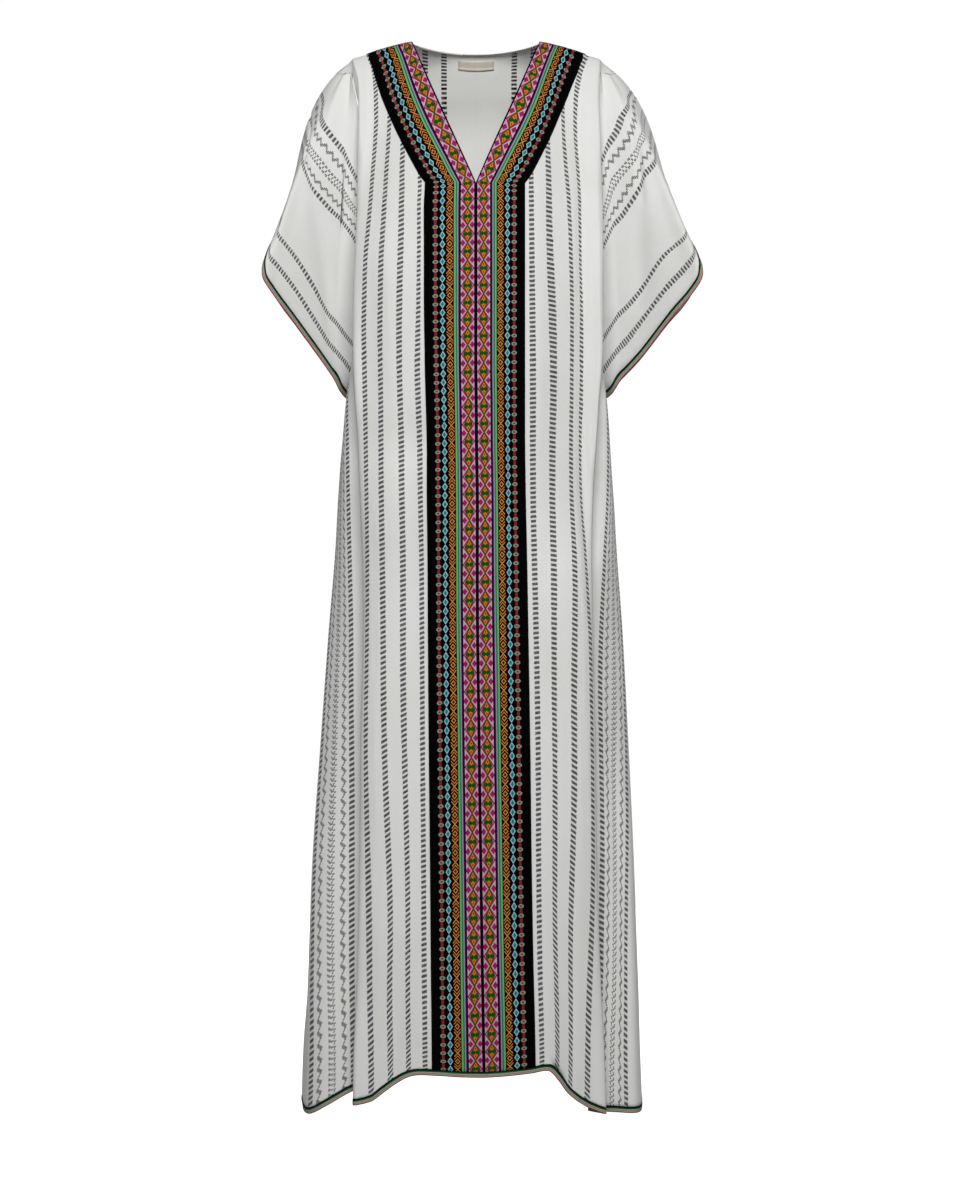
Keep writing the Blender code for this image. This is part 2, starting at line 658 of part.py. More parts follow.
def build():
    clear_scene()
    collection = bpy.data.collections.new("kaftan")
    bpy.context.scene.collection.children.link(collection)
    white = material("white cotton", (0.80, 0.80, 0.79), 0.85)
    band = material("woven band", (0.03, 0.02, 0.03), 0.75)
    edge = material("edge trim", (0.02, 0.10, 0.05), 0.70)
    plain = material("label tape", (0.72, 0.69, 0.62), 0.80)

    levels = levels_of(4)
    shapes = {True: {}, False: {}}
    edges = {True: {}, False: {}}
    for is_front in (True, False):
        for side in (LEFT, RIGHT):
            whole = half_panel(side, is_front, levels if is_front else levels_of(len(BACK_DEPTHS)))
            shapes[is_front][side], edges[is_front][side] = parted_edge(whole)

    for is_front, name in ((True, "front"), (False, "back")):
        flips = {RIGHT: not is_front, LEFT: is_front}
        halves = [(shapes[is_front][side], flips[side]) for side in (RIGHT, LEFT)]
        strips = [(edges[is_front][side], flips[side]) for side in (RIGHT, LEFT)]
        cloth_object(name, halves, WALL, white, collection, MERGE)
        cloth_object("hem_trim_" + name, strips, WALL, edge, collection, MERGE)

    lie = WALL / 2 + LIE_GAP + TRIM_WALL / 2
    for side, label in ((LEFT, "left"), (RIGHT, "right")):
        flip = side == LEFT
        strip = moved_out([row[: BAND_COLUMNS + 1] for row in shapes[True][side]], flip, lie)
        for line in strip[NECK_POINT_ROW:]:
            line[0].x += side * LIE_GAP
        cloth_object("band_" + label, [(strip, flip)], TRIM_WALL, band, collection)
        sleeve, ring = parted_edge(sleeve_grid(side))
        cloth_object("sleeve_" + label, [(sleeve, flip)], WALL, white, collection, MERGE)
        cloth_object("cuff_trim_" + label, [(ring, flip)], WALL, edge, collection, MERGE)

    inside = WALL / 2 + LIE_GAP
    tape = patch_on_back(BINDING_HALF, 0.0, BINDING_HEIGHT, 1, BINDING_STEPS, inside + TRIM_WALL / 2)
    cloth_object("neck_binding", [(tape, False)], TRIM_WALL, plain, collection)
    tag = patch_on_back(LABEL_HALF, LABEL_TOP, LABEL_BOTTOM, LABEL_ROWS, LABEL_ROWS, inside + LABEL_WALL / 2)
    cloth_object("label", [(tag, False)], LABEL_WALL, plain, collection)


build()
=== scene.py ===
"""The looks of a long striped kaftan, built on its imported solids.

Metres, +Z up, the front faces -Y and +X is the viewer's right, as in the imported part. The cloth is described
on its flat cut: s is the distance from the centre line of a panel and t is the distance down the cloth from
the shoulder line. Each piece of cloth starts as a flat grid, is laid in its worn place by a drape, and keeps
its flat places in a UV map, so that the woven stripes follow the cloth.
"""

from __future__ import annotations

import json
import logging
import math
from collections.abc import Callable, Sequence
from dataclasses import dataclass, field
from enum import Enum

import bmesh
import bpy
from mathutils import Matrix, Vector

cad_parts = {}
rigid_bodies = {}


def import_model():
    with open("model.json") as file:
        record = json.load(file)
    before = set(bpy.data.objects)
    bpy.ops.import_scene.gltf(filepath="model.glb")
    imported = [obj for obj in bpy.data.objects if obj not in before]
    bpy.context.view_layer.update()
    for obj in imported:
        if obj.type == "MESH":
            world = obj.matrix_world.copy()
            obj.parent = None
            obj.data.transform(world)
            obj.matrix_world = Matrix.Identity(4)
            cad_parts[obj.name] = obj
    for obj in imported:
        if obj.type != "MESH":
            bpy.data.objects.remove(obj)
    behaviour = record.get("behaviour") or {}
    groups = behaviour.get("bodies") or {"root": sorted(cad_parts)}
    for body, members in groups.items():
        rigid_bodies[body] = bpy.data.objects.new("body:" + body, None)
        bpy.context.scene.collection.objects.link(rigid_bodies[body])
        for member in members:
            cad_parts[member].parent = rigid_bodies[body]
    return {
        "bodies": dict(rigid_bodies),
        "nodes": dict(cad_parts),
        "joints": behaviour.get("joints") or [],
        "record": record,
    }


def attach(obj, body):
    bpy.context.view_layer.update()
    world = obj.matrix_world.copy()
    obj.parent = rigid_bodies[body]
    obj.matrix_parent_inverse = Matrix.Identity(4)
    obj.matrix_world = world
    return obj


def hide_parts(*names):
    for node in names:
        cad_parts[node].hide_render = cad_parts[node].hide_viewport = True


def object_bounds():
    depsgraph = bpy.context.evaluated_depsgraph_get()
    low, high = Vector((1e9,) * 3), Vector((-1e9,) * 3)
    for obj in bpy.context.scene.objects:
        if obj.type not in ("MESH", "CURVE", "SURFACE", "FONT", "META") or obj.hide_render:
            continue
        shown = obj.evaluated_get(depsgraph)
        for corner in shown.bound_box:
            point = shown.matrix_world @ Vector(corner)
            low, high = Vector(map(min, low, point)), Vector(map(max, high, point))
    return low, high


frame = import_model()
CAD_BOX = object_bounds()
LOG = logging.getLogger("kaftan")


Row = tuple[float, ...]


class Side(Enum):
    """A side of the garment as the viewer of its front sees it, with the sign of its X."""

    LEFT = -1
    RIGHT = 1

    @property
    def word(self) -> str:
        """The side as the names of pieces say it."""
        return self.name.lower()


class Face(Enum):
    """One of the two panels, with the sign of its outward Y."""

    FRONT = -1
    BACK = 1


@dataclass(frozen=True)
class Cut:
    """Sizes of the flat cut in metres, and the shares that shape its worn form."""

    neck_half: float = 0.087
    neck_drop: float = 0.2045
    back_neck_drop: float = 0.008
    back_neck_depth: float = 0.048
    back_neck_follow: float = 0.9
    back_neck_curve: float = 0.7
    back_neck_share: float = 0.5
    band_width: float = 0.066
    first_stripe: float = 0.076
    fourth_stripe: float = 0.154
    fifth_stripe: float = 0.242
    sixth_stripe: float = 0.299
    side_seam: float = 0.335
    edge_trim: float = 0.0085
    apex_s: float = 0.172
    cuff_s: float = 0.436
    cuff_bottom_t: float = 0.435
    back_depth: float = 0.92
    depth_share: float = 0.8
    hem_depth_share: float = 0.6
    depth_fade_top: float = -0.7
    depth_fade_run: float = 0.7
    behind_tuck: float = 1.2
    tuck_inward: float = 0.75
    shoulder_fade: float = 0.30
    fade_in: float = 0.25
    neck_fade: float = 0.06
    fold_edge_slope: float = 0.1
    back_swell: float = 0.8
    swell_sag: float = 0.45
    hem_blend_top: float = -0.95
    hem_level: float = -1.425
    hem_blend_power: float = 1.5


CUT = Cut()
APEX = Vector((0.168, 0.0, -0.024))
CUFF_BOTTOM = Vector((0.174, 0.0, -0.484))
KEEL = Vector((0.0, 0.006, -0.004))
CLOTH = 0.0008
SLEEVE_GAP = 0.0023
ARC = 0.0272
UNDERARM_LIFT = 0.003
SWELL_SCALE = 6.75
SWELL_ACROSS = 0.91
SWELL_UP = 0.41
SAMPLES = 16
NECK_POINT_ROW = 7
ARC_ROWS = 2
SEAM_ROWS = 3
KEEL_ROWS = 5
BACK_STRIPES = (0.0755, 0.1480)

# Places along the wall above the underarm, from the fold to the armhole, and how much of its swell each has
WALL_SWELLS: tuple[Row, ...] = (
    (0.22, 0.5),
    (0.45, 0.9),
    (0.75, 0.6),
)

# Rays that start at the first armhole rows, on the arc round the shoulder point: the ray's angle, the row
SHOULDER_ARC: tuple[Row, ...] = ((34.0, 2.0), (60.0, 1.0), (90.0, 0.0))

# Top edge of the shoulders, from the neck outwards: flat distance, place across, height
SHOULDER: tuple[Row, ...] = (
    (0.087, 0.087, 0.0),
    (0.107, 0.107, -0.004),
    (0.137, 0.136, -0.012),
    (0.160, 0.157, -0.020),
    (0.172, 0.168, -0.024),
    (0.183, 0.178, -0.0285),
    (0.197, 0.1905, -0.0365),
)

# The band across the cut, from the point of the neck up to the shoulder: share of the way, width
NECK_BAND: tuple[Row, ...] = (
    (0.00, 0.0665),
    (0.05, 0.0700),
    (0.25, 0.0765),
    (0.42, 0.0825),
    (0.60, 0.0850),
    (0.72, 0.0828),
    (0.84, 0.0775),
    (0.95, 0.0690),
    (1.00, 0.0625),
)

# The armhole fold, from the shoulder to the underarm: flat s and t, then its place in front. The places of
# the first three rows lie on an arc round the shoulder point, which the sleeve shares
ARMHOLE: tuple[Row, ...] = (
    (0.1970, 0.0000, 0.1892, 0.0000, -0.0411),
    (0.1937, 0.0125, 0.1814, -0.0124, -0.0432),
    (0.1860, 0.0207, 0.1693, -0.0136, -0.0417),
    (0.1875, 0.0400, 0.1660, -0.0270, -0.0480),
    (0.1900, 0.0600, 0.1630, -0.0360, -0.0640),
    (0.1930, 0.1000, 0.1550, -0.0460, -0.0940),
    (0.2050, 0.1600, 0.1320, -0.0640, -0.1430),
    (0.2254, 0.2452, 0.1119, -0.0724, -0.2145),
    (0.2360, 0.2800, 0.1060, -0.0720, -0.2500),
    (0.2560, 0.3400, 0.1010, -0.0580, -0.3080),
    (0.2850, 0.4000, 0.1030, -0.0380, -0.3680),
    (0.3150, 0.4450, 0.1090, -0.0190, -0.4120),
    (0.3350, 0.4650, 0.1120, 0.0000, -0.4250),
)

# At each armhole row: how far the cloth stands out and how far it has dropped, in front and then behind,
# and how far the wall behind the fold's edge swells out
PROFILE: tuple[Row, ...] = (
    (0.0000, 0.0000, 0.0000, 0.0000, 0.0),
    (0.0120, 0.0010, 0.0120, 0.0010, 0.0),
    (0.0195, 0.0035, 0.0195, 0.0030, 0.0),
    (0.0365, 0.0180, 0.0375, 0.0140, 0.0),
    (0.0510, 0.0350, 0.0530, 0.0270, 0.0),
    (0.0750, 0.0680, 0.0780, 0.0580, 0.0),
    (0.1040, 0.1230, 0.1030, 0.1120, 0.0),
    (0.1308, 0.2045, 0.1172, 0.1972, 0.0),
    (0.1370, 0.2380, 0.1180, 0.2320, 0.0),
    (0.1430, 0.2980, 0.1170, 0.2920, 0.006),
    (0.1450, 0.3570, 0.1140, 0.3520, 0.016),
    (0.1450, 0.4020, 0.1120, 0.3970, 0.026),
    (0.1450, 0.4220, 0.1110, 0.4170, 0.029),
)

# Across the front above the underarm, one row for each armhole row and side: place of the first stripe,
# place of the fourth stripe, flat place of the fold's edge, place of that edge
UPPER_SECTIONS: dict[Side, tuple[Row, ...]] = {
    Side.LEFT: (
        (0.0760, 0.1515, 0.172, 0.1680),
        (0.0760, 0.1500, 0.172, 0.1672),
        (0.0760, 0.1490, 0.172, 0.1665),
        (0.0760, 0.1440, 0.173, 0.1630),
        (0.0760, 0.1400, 0.174, 0.1590),
        (0.0760, 0.1375, 0.176, 0.1570),
        (0.0760, 0.1370, 0.177, 0.1570),
        (0.0764, 0.1420, 0.177, 0.1580),
        (0.0780, 0.1442, 0.177, 0.1580),
        (0.0780, 0.1480, 0.176, 0.1600),
        (0.0780, 0.1480, 0.175, 0.1620),
        (0.0775, 0.1480, 0.174, 0.1625),
        (0.0770, 0.1478, 0.173, 0.1625),
    ),
    Side.RIGHT: (
        (0.0760, 0.1515, 0.172, 0.1680),
        (0.0760, 0.1500, 0.173, 0.1678),
        (0.0760, 0.1485, 0.174, 0.1675),
        (0.0758, 0.1435, 0.178, 0.1670),
        (0.0755, 0.1390, 0.182, 0.1660),
        (0.0750, 0.1340, 0.185, 0.1650),
        (0.0745, 0.1330, 0.187, 0.1665),
        (0.0740, 0.1385, 0.187, 0.1683),
        (0.0740, 0.1395, 0.187, 0.1690),
        (0.0740, 0.1405, 0.185, 0.1690),
        (0.0740, 0.1415, 0.183, 0.1690),
        (0.0740, 0.1415, 0.181, 0.1690),
        (0.0740, 0.1415, 0.180, 0.1685),
    ),
}

# Levels of the panels below the underarm: height, depth in front, depth behind, how far the front's centre
# line has drifted to the right, and how far out the fifth and sixth stripes of the front stand
LEVELS: tuple[Row, ...] = (
    (-0.455, 0.145, 0.111, 0.0000, 0.062, 0.030),
    (-0.490, 0.145, 0.110, 0.0005, 0.070, 0.036),
    (-0.550, 0.145, 0.111, 0.0010, 0.068, 0.034),
    (-0.620, 0.145, 0.113, 0.0020, 0.068, 0.034),
    (-0.700, 0.145, 0.116, 0.0020, 0.069, 0.034),
    (-0.800, 0.145, 0.120, 0.0025, 0.072, 0.036),
    (-0.950, 0.147, 0.128, 0.0045, 0.080, 0.046),
    (-1.100, 0.150, 0.136, 0.0065, 0.092, 0.066),
    (-1.250, 0.154, 0.143, 0.0085, 0.104, 0.078),
    (-1.350, 0.157, 0.147, 0.0100, 0.112, 0.084),
    (-1.425, 0.159, 0.150, 0.0110, 0.116, 0.088),
)

# Across the panels at the same levels: places of the first stripe, fourth stripe, fold edge (flat and real),
# fifth stripe, sixth stripe and side seam, and depth of the fold behind its edge
LOWER_SECTIONS: dict[Side, tuple[Row, ...]] = {
    Side.LEFT: (
        (0.0765, 0.1475, 0.172, 0.1620, 0.1690, 0.1560, 0.1330, 0.008),
        (0.0755, 0.1470, 0.171, 0.1600, 0.1720, 0.1700, 0.1560, 0.016),
        (0.0740, 0.1467, 0.170, 0.1560, 0.1725, 0.1800, 0.1750, 0.026),
        (0.0740, 0.1460, 0.169, 0.1530, 0.1715, 0.1850, 0.1820, 0.028),
        (0.0730, 0.1450, 0.168, 0.1500, 0.1695, 0.1890, 0.1880, 0.030),
        (0.0725, 0.1445, 0.168, 0.1490, 0.1665, 0.1965, 0.1960, 0.031),
        (0.0715, 0.1455, 0.170, 0.1520, 0.1650, 0.2060, 0.2070, 0.032),
        (0.0700, 0.1440, 0.171, 0.1530, 0.1640, 0.2150, 0.2165, 0.032),
        (0.0690, 0.1425, 0.174, 0.1560, 0.1630, 0.2180, 0.2255, 0.031),
        (0.0680, 0.1405, 0.177, 0.1605, 0.1610, 0.2180, 0.2335, 0.030),
        (0.0675, 0.1400, 0.178, 0.1615, 0.1600, 0.2200, 0.2360, 0.030),
    ),
    Side.RIGHT: (
        (0.0740, 0.1415, 0.178, 0.1670, 0.1710, 0.1560, 0.1330, 0.008),
        (0.0740, 0.1415, 0.176, 0.1640, 0.1740, 0.1700, 0.1560, 0.016),
        (0.0740, 0.1415, 0.174, 0.1600, 0.1755, 0.1795, 0.1745, 0.026),
        (0.0750, 0.1430, 0.172, 0.1560, 0.1740, 0.1850, 0.1820, 0.028),
        (0.0770, 0.1480, 0.169, 0.1540, 0.1690, 0.1890, 0.1880, 0.030),
        (0.0790, 0.1510, 0.168, 0.1550, 0.1660, 0.1955, 0.1950, 0.032),
        (0.0815, 0.1530, 0.168, 0.1580, 0.1670, 0.2025, 0.2030, 0.034),
        (0.0830, 0.1540, 0.170, 0.1600, 0.1710, 0.2080, 0.2110, 0.034),
        (0.0850, 0.1520, 0.176, 0.1650, 0.1720, 0.2110, 0.2190, 0.032),
        (0.0870, 0.1510, 0.180, 0.1700, 0.1690, 0.2130, 0.2220, 0.030),
        (0.0880, 0.1500, 0.181, 0.1720, 0.1680, 0.2150, 0.2250, 0.030),
    ),
}

# Hem line: flat distance, then its height in front on each side, and behind
HEM: tuple[Row, ...] = (
    (0.0000, -1.3810, -1.3810, -1.400),
    (0.0300, -1.3805, -1.3790, -1.400),
    (0.0600, -1.3785, -1.3755, -1.400),
    (0.0850, -1.3780, -1.3730, -1.401),
    (0.0990, -1.3815, -1.3850, -1.402),
    (0.1160, -1.3906, -1.4030, -1.404),
    (0.1330, -1.4024, -1.4150, -1.407),
    (0.1500, -1.4142, -1.4240, -1.410),
    (0.1780, -1.4200, -1.4340, -1.416),
    (0.2100, -1.4120, -1.4340, -1.420),
    (0.2420, -1.4056, -1.4360, -1.422),
    (0.2705, -1.4245, -1.4370, -1.425),
    (0.2990, -1.4386, -1.4370, -1.430),
    (0.3350, -1.4340, -1.4360, -1.434),
)

# Rays of the sleeve from the shoulder point to the cuff: angle on the flat cut from straight down, place
# of the ray's end across on the left and on the right, in front and down, and how far its middle swells
SLEEVE_RAYS: tuple[Row, ...] = (
    (34.0, 0.1930, 0.1980, -0.032, -0.4550, 0.040),
    (38.0, 0.2130, 0.2250, -0.052, -0.4260, 0.037),
    (44.0, 0.2480, 0.2620, -0.085, -0.3780, 0.031),
    (49.0, 0.2695, 0.2870, -0.104, -0.3490, 0.022),
    (54.0, 0.2830, 0.3005, -0.115, -0.3245, 0.015),
    (61.0, 0.2790, 0.2955, -0.094, -0.2960, 0.015),
    (72.0, 0.2722, 0.2875, -0.056, -0.2770, 0.019),
    (82.0, 0.2685, 0.2822, -0.022, -0.2660, 0.022),
    (90.0, 0.2672, 0.2805, 0.000, -0.2620, 0.024),
)

UNDERARM_ROW = len(ARMHOLE) - 1


@dataclass
class ClothPoint:
    """A point of the cloth: its worn place, and its flat place on the cut."""

    place: Vector
    s: float
    t: float


Lines = list[list[ClothPoint]]


def mix(low: float, high: float, share: float) -> float:
    """The value at a share of the way from low to high."""
    return low + (high - low) * share


def clamp(value: float, low: float = 0.0, high: float = 1.0) -> float:
    """The value, kept between low and high."""
    return min(high, max(low, value))


def smooth(value: float) -> float:
    """A soft step from 0 to 1."""
    share = clamp(value)
    return share * share * (3.0 - 2.0 * share)


def through(values: Sequence[Row], place: float) -> Row:
    """The row at a place on a smooth curve through evenly numbered rows.

    Args:
        values: The rows that the curve passes through.
        place: Their number along the curve, which may lie between two rows.

    Returns:
        The row of values there.
    """
    last = len(values) - 1
    i = min(max(int(math.floor(place)), 0), last - 1)
    f = place - i
    near = [values[min(max(i + k, 0), last)] for k in (-1, 0, 1, 2)]
    found = []
    for a, b, c, d in zip(*near):
        square = 2 * a - 5 * b + 4 * c - d
        cube = 3 * (b - c) + d - a
        found.append(0.5 * (2 * b + (c - a) * f + square * f**2 + cube * f**3))
    return tuple(found)


def looked_up(rows: Sequence[Row], key: float) -> Row:
    """The row of a table at a key of its first column, on a smooth curve.

    Args:
        rows: The table, whose first column rises.
        key: The value of the first column.

    Returns:
        The row of values there, or the end row outside the table.
    """
    if key <= rows[0][0]:
        return rows[0]
    for k, (low, high) in enumerate(zip(rows, rows[1:])):
        if key <= high[0]:
            return through(rows, k + (key - low[0]) / (high[0] - low[0]))
    return rows[-1]


def straight(places: Row, values: Row, key: float) -> float:
    """The value at a key, on straight lines between the values at rising places."""
    if key <= places[0]:
        return values[0]
    for k, place in enumerate(places[1:]):
        if key <= place:
            return mix(values[k], values[k + 1], (key - places[k]) / (place - places[k]))
    return values[-1]


def on_curve(points: Sequence[ClothPoint], place: float) -> ClothPoint:
    """The point at a place on a smooth curve through evenly numbered points of the cloth."""
    x, y, z, s, t = through([(*point.place, point.s, point.t) for point in points], place)
    return ClothPoint(Vector((x, y, z)), s, t)


def on_side(lines: Lines, side: Side) -> Lines:
    """The rows of a piece on its own side, from rows that are laid as the right side's."""
    turn = Vector((side.value, 1.0, 1.0))
    return [[ClothPoint(point.place * turn, point.s, point.t) for point in line] for line in lines]


def hermite(start: Row, end: Row, x: float) -> float:
    """The height at x of a cubic between two points.

    Args:
        start: The place, height and slope where the cubic starts.
        end: The place, height and slope where it ends.
        x: The place that is asked for.

    Returns:
        The height there.
    """
    x0, y0, m0 = start
    x1, y1, m1 = end
    h = x1 - x0
    f = (x - x0) / h
    return (
        (2 * f**3 - 3 * f**2 + 1) * y0
        + (f**3 - 2 * f**2 + f) * h * m0
        + (3 * f**2 - 2 * f**3) * y1
        + (f**3 - f**2) * h * m1
    )


@dataclass(frozen=True)
class Section:
    """One row of a panel seen from above: where its flat distances lie across, up to the fold's edge."""

    centre: float
    first: float
    fourth: float
    fold_s: float
    fold_x: float

    def across(self, s: float) -> float:
        """Place across of the point at flat distance s."""
        slope = (self.fourth - self.first) / (CUT.fourth_stripe - CUT.first_stripe)
        inner = (self.first - self.centre) / CUT.first_stripe
        outer = 0.5 * (slope + (self.fold_x - self.fourth) / (self.fold_s - CUT.fourth_stripe))
        first = (CUT.first_stripe, self.first, 0.5 * (inner + slope))
        fourth = (CUT.fourth_stripe, self.fourth, outer)
        if s <= CUT.first_stripe:
            return hermite((0.0, self.centre, inner), first, s)
        if s <= CUT.fourth_stripe:
            return hermite(first, fourth, s)
        return hermite(fourth, (self.fold_s, self.fold_x, CUT.fold_edge_slope), s)

    def setback(self, s: float) -> float:
        """How far the section has turned back at flat distance s, from the cloth's own width."""
        depth = 0.0
        step = s / SAMPLES
        before = self.centre
        for k in range(SAMPLES):
            after = self.across((k + 1) * step)
            depth += math.sqrt(max(0.0, step * step - (after - before) ** 2))
            before = after
        return depth


@dataclass(frozen=True)
class PanelDrape:
    """Lays one half of the front or back panel in its worn place, row by row."""

    side: Side
    face: Face
    band_steps: int = 10
    plane_steps: int = 32
    wall_steps: int = 8

    def band_edges(self, row: float, drop: float) -> tuple[float, float]:
        """Flat distances of the neckline and of the band's outer edge at a row."""
        if row >= NECK_POINT_ROW or self.face is Face.BACK:
            return 0.0, CUT.band_width
        share = 1.0 - drop / CUT.neck_drop
        inner = CUT.neck_half * share
        return inner, inner + looked_up(NECK_BAND, share)[1]

    def flat_line(self, inner: float, band: float, fold: float) -> list[float]:
        """Flat distances of a row's points from the neckline or centre to the fold's edge."""
        line = [mix(inner, band, k / self.band_steps) for k in range(self.band_steps)]
        return line + [mix(band, fold, k / self.plane_steps) for k in range(self.plane_steps + 1)]

    def wall(self, stations: Sequence[ClothPoint]) -> list[ClothPoint]:
        """Points of a row from behind the fold's edge, the first station, to the last one."""
        count = self.wall_steps * (len(stations) - 1)
        return [on_curve(stations, k / self.wall_steps) for k in range(1, count + 1)]

    def armhole_place(self, row: float) -> Vector:
        """Place of the armhole's edge at a row."""
        _, _, x, y, z = through(ARMHOLE, row)
        depth = max(CLOTH / 2, -y * (1.0 if self.face is Face.FRONT else CUT.back_depth))
        return Vector((x, self.face.value * depth, z))

    def upper_line(self, row: float) -> list[ClothPoint]:
        """Points of a row above the underarm, from the neckline or centre to the armhole."""
        front = self.face is Face.FRONT
        facing = self.face.value
        armhole_s, t, *_ = through(ARMHOLE, row)
        forward, drop, behind, back_drop, swell = through(PROFILE, row)
        first, fourth, fold_s, fold_x = through(UPPER_SECTIONS[self.side], row)
        if not front:
            forward, drop, swell = behind, back_drop, swell * CUT.back_swell
            first, fourth = (max(pair) for pair in zip((first, fourth), BACK_STRIPES))
        section = Section(0.0, first, fourth, fold_s, fold_x)
        turn_share = min(1.0, t / CUT.fade_in)
        slope_share = max(0.0, 1.0 - t / CUT.shoulder_fade)
        line = []
        for s in self.flat_line(*self.band_edges(row, drop), fold_s):
            x = section.across(s)
            y = facing * max(CLOTH / 2, forward - turn_share * CUT.depth_share * section.setback(s))
            _, edge_x, edge_z = looked_up(SHOULDER, s)
            z = slope_share * edge_z - drop
            if row < 1.0:
                x = mix(edge_x if s > CUT.neck_half else s, x, row)
            if not front and s < CUT.neck_half:
                hollow = 1.0 - (s / CUT.neck_half) ** 2
                fade = max(0.0, 1.0 - drop / CUT.neck_fade)
                z = mix(z, -CUT.back_neck_drop * hollow - drop * CUT.back_neck_follow, fade)
                depth = CUT.back_neck_depth * hollow**CUT.back_neck_curve
                y = mix(y, depth + y * (1.0 - CUT.back_neck_share * hollow), fade)
            line.append(ClothPoint(Vector((x, y, z)), s, t))
        fold = line[-1]
        end = ClothPoint(self.armhole_place(row), armhole_s, t)
        run = end.place - fold.place
        out = self.off_wall(run)
        stations = [fold]
        for share, lift in WALL_SWELLS:
            place = fold.place + run * share + out * swell * lift
            place.z -= CUT.swell_sag * swell * lift
            stations.append(ClothPoint(place, mix(fold_s, armhole_s, share), t))
        return line + self.wall([*stations, end])

    def off_wall(self, run: Vector) -> Vector:
        """Level direction out of a wall that runs this way."""
        out = Vector((-self.face.value * run.y, self.face.value * run.x, 0.0))
        return out.normalized() if out.length > 1e-6 else out

    def lower_line(self, level: float) -> list[ClothPoint]:
        """Points of a row below the underarm, from the centre to the side seam."""
        front = self.face is Face.FRONT
        facing = self.face.value
        z, forward, behind, drift, fifth_depth, sixth_depth = through(LEVELS, level)
        first, fourth, fold_s, fold_x, fifth, sixth, seam, tuck = through(LOWER_SECTIONS[self.side], level)
        if not front:
            forward, drift = behind, 0.0
            fifth_depth *= CUT.back_depth
            sixth_depth *= CUT.back_depth
            first, fourth = BACK_STRIPES
        fade = clamp((CUT.depth_fade_top - z) / CUT.depth_fade_run)
        depth_share = mix(CUT.depth_share, CUT.hem_depth_share, fade)
        section = Section(self.side.value * drift, first, fourth, fold_s, fold_x)
        sunk = max(0.0, (CUT.hem_blend_top - z) / (CUT.hem_blend_top - CUT.hem_level))
        blend = sunk**CUT.hem_blend_power
        column = (1 if self.side is Side.LEFT else 2) if front else 3
        t = ARMHOLE[-1][1] + ARMHOLE[-1][4] - z

        def height(s: float) -> float:
            """Height of the point at flat distance s, with the hem line's share in it."""
            return z + blend * (looked_up(HEM, s)[column] - CUT.hem_level)

        line = []
        for s in self.flat_line(0.0, CUT.band_width, fold_s):
            y = facing * (forward - depth_share * section.setback(s))
            line.append(ClothPoint(Vector((section.across(s), y, height(s))), s, t))
        fold = line[-1]
        depth = abs(fold.place.y)
        tucked_s = mix(fold_s, CUT.fifth_stripe, 0.5)
        fifth_depth = min(fifth_depth, depth - CUT.behind_tuck * tuck)
        behind_fold = (
            (fold.place.x - CUT.tuck_inward * tuck, depth - tuck, tucked_s),
            (fifth, fifth_depth, CUT.fifth_stripe),
            (sixth, sixth_depth, CUT.sixth_stripe),
            (seam, CLOTH / 2, CUT.side_seam),
        )
        stations = [fold]
        for x, out, s in behind_fold:
            stations.append(ClothPoint(Vector((x, facing * out, height(s))), s, t))
        return line + self.wall(stations)

    def line(self, row: float) -> list[ClothPoint]:
        """Points of any row, numbered on from the armhole's rows through the levels below them."""
        if row <= UNDERARM_ROW:
            return self.upper_line(row)
        if row >= UNDERARM_ROW + 1:
            return self.lower_line(row - UNDERARM_ROW - 1)
        above = (self.upper_line(UNDERARM_ROW - 1), self.upper_line(UNDERARM_ROW))
        below = (self.lower_line(0), self.lower_line(1))
        place = 1 + row - UNDERARM_ROW
        return [on_curve(points, place) for points in zip(*above, *below)]

    def lines(self, spacing: float, last_spacing: float) -> Lines:
        """Every row of the half, from the shoulder to the hem, on its own side.

        Args:
            spacing: Greatest flat distance between two rows.
            last_spacing: The same for the rows nearest to the hem.

        Returns:
            The rows of points.
        """
        down = [row[1] for row in ARMHOLE]
        down += [ARMHOLE[-1][1] + ARMHOLE[-1][4] - row[0] for row in LEVELS]
        numbers = [0.0]
        for k, (above, below) in enumerate(zip(down, down[1:])):
            least = last_spacing if k == len(down) - 2 else spacing
            steps = max(1, math.ceil((below - above) / least))
            numbers += [k + (j + 1) / steps for j in range(steps)]
        return on_side([self.line(number) for number in numbers], self.side)


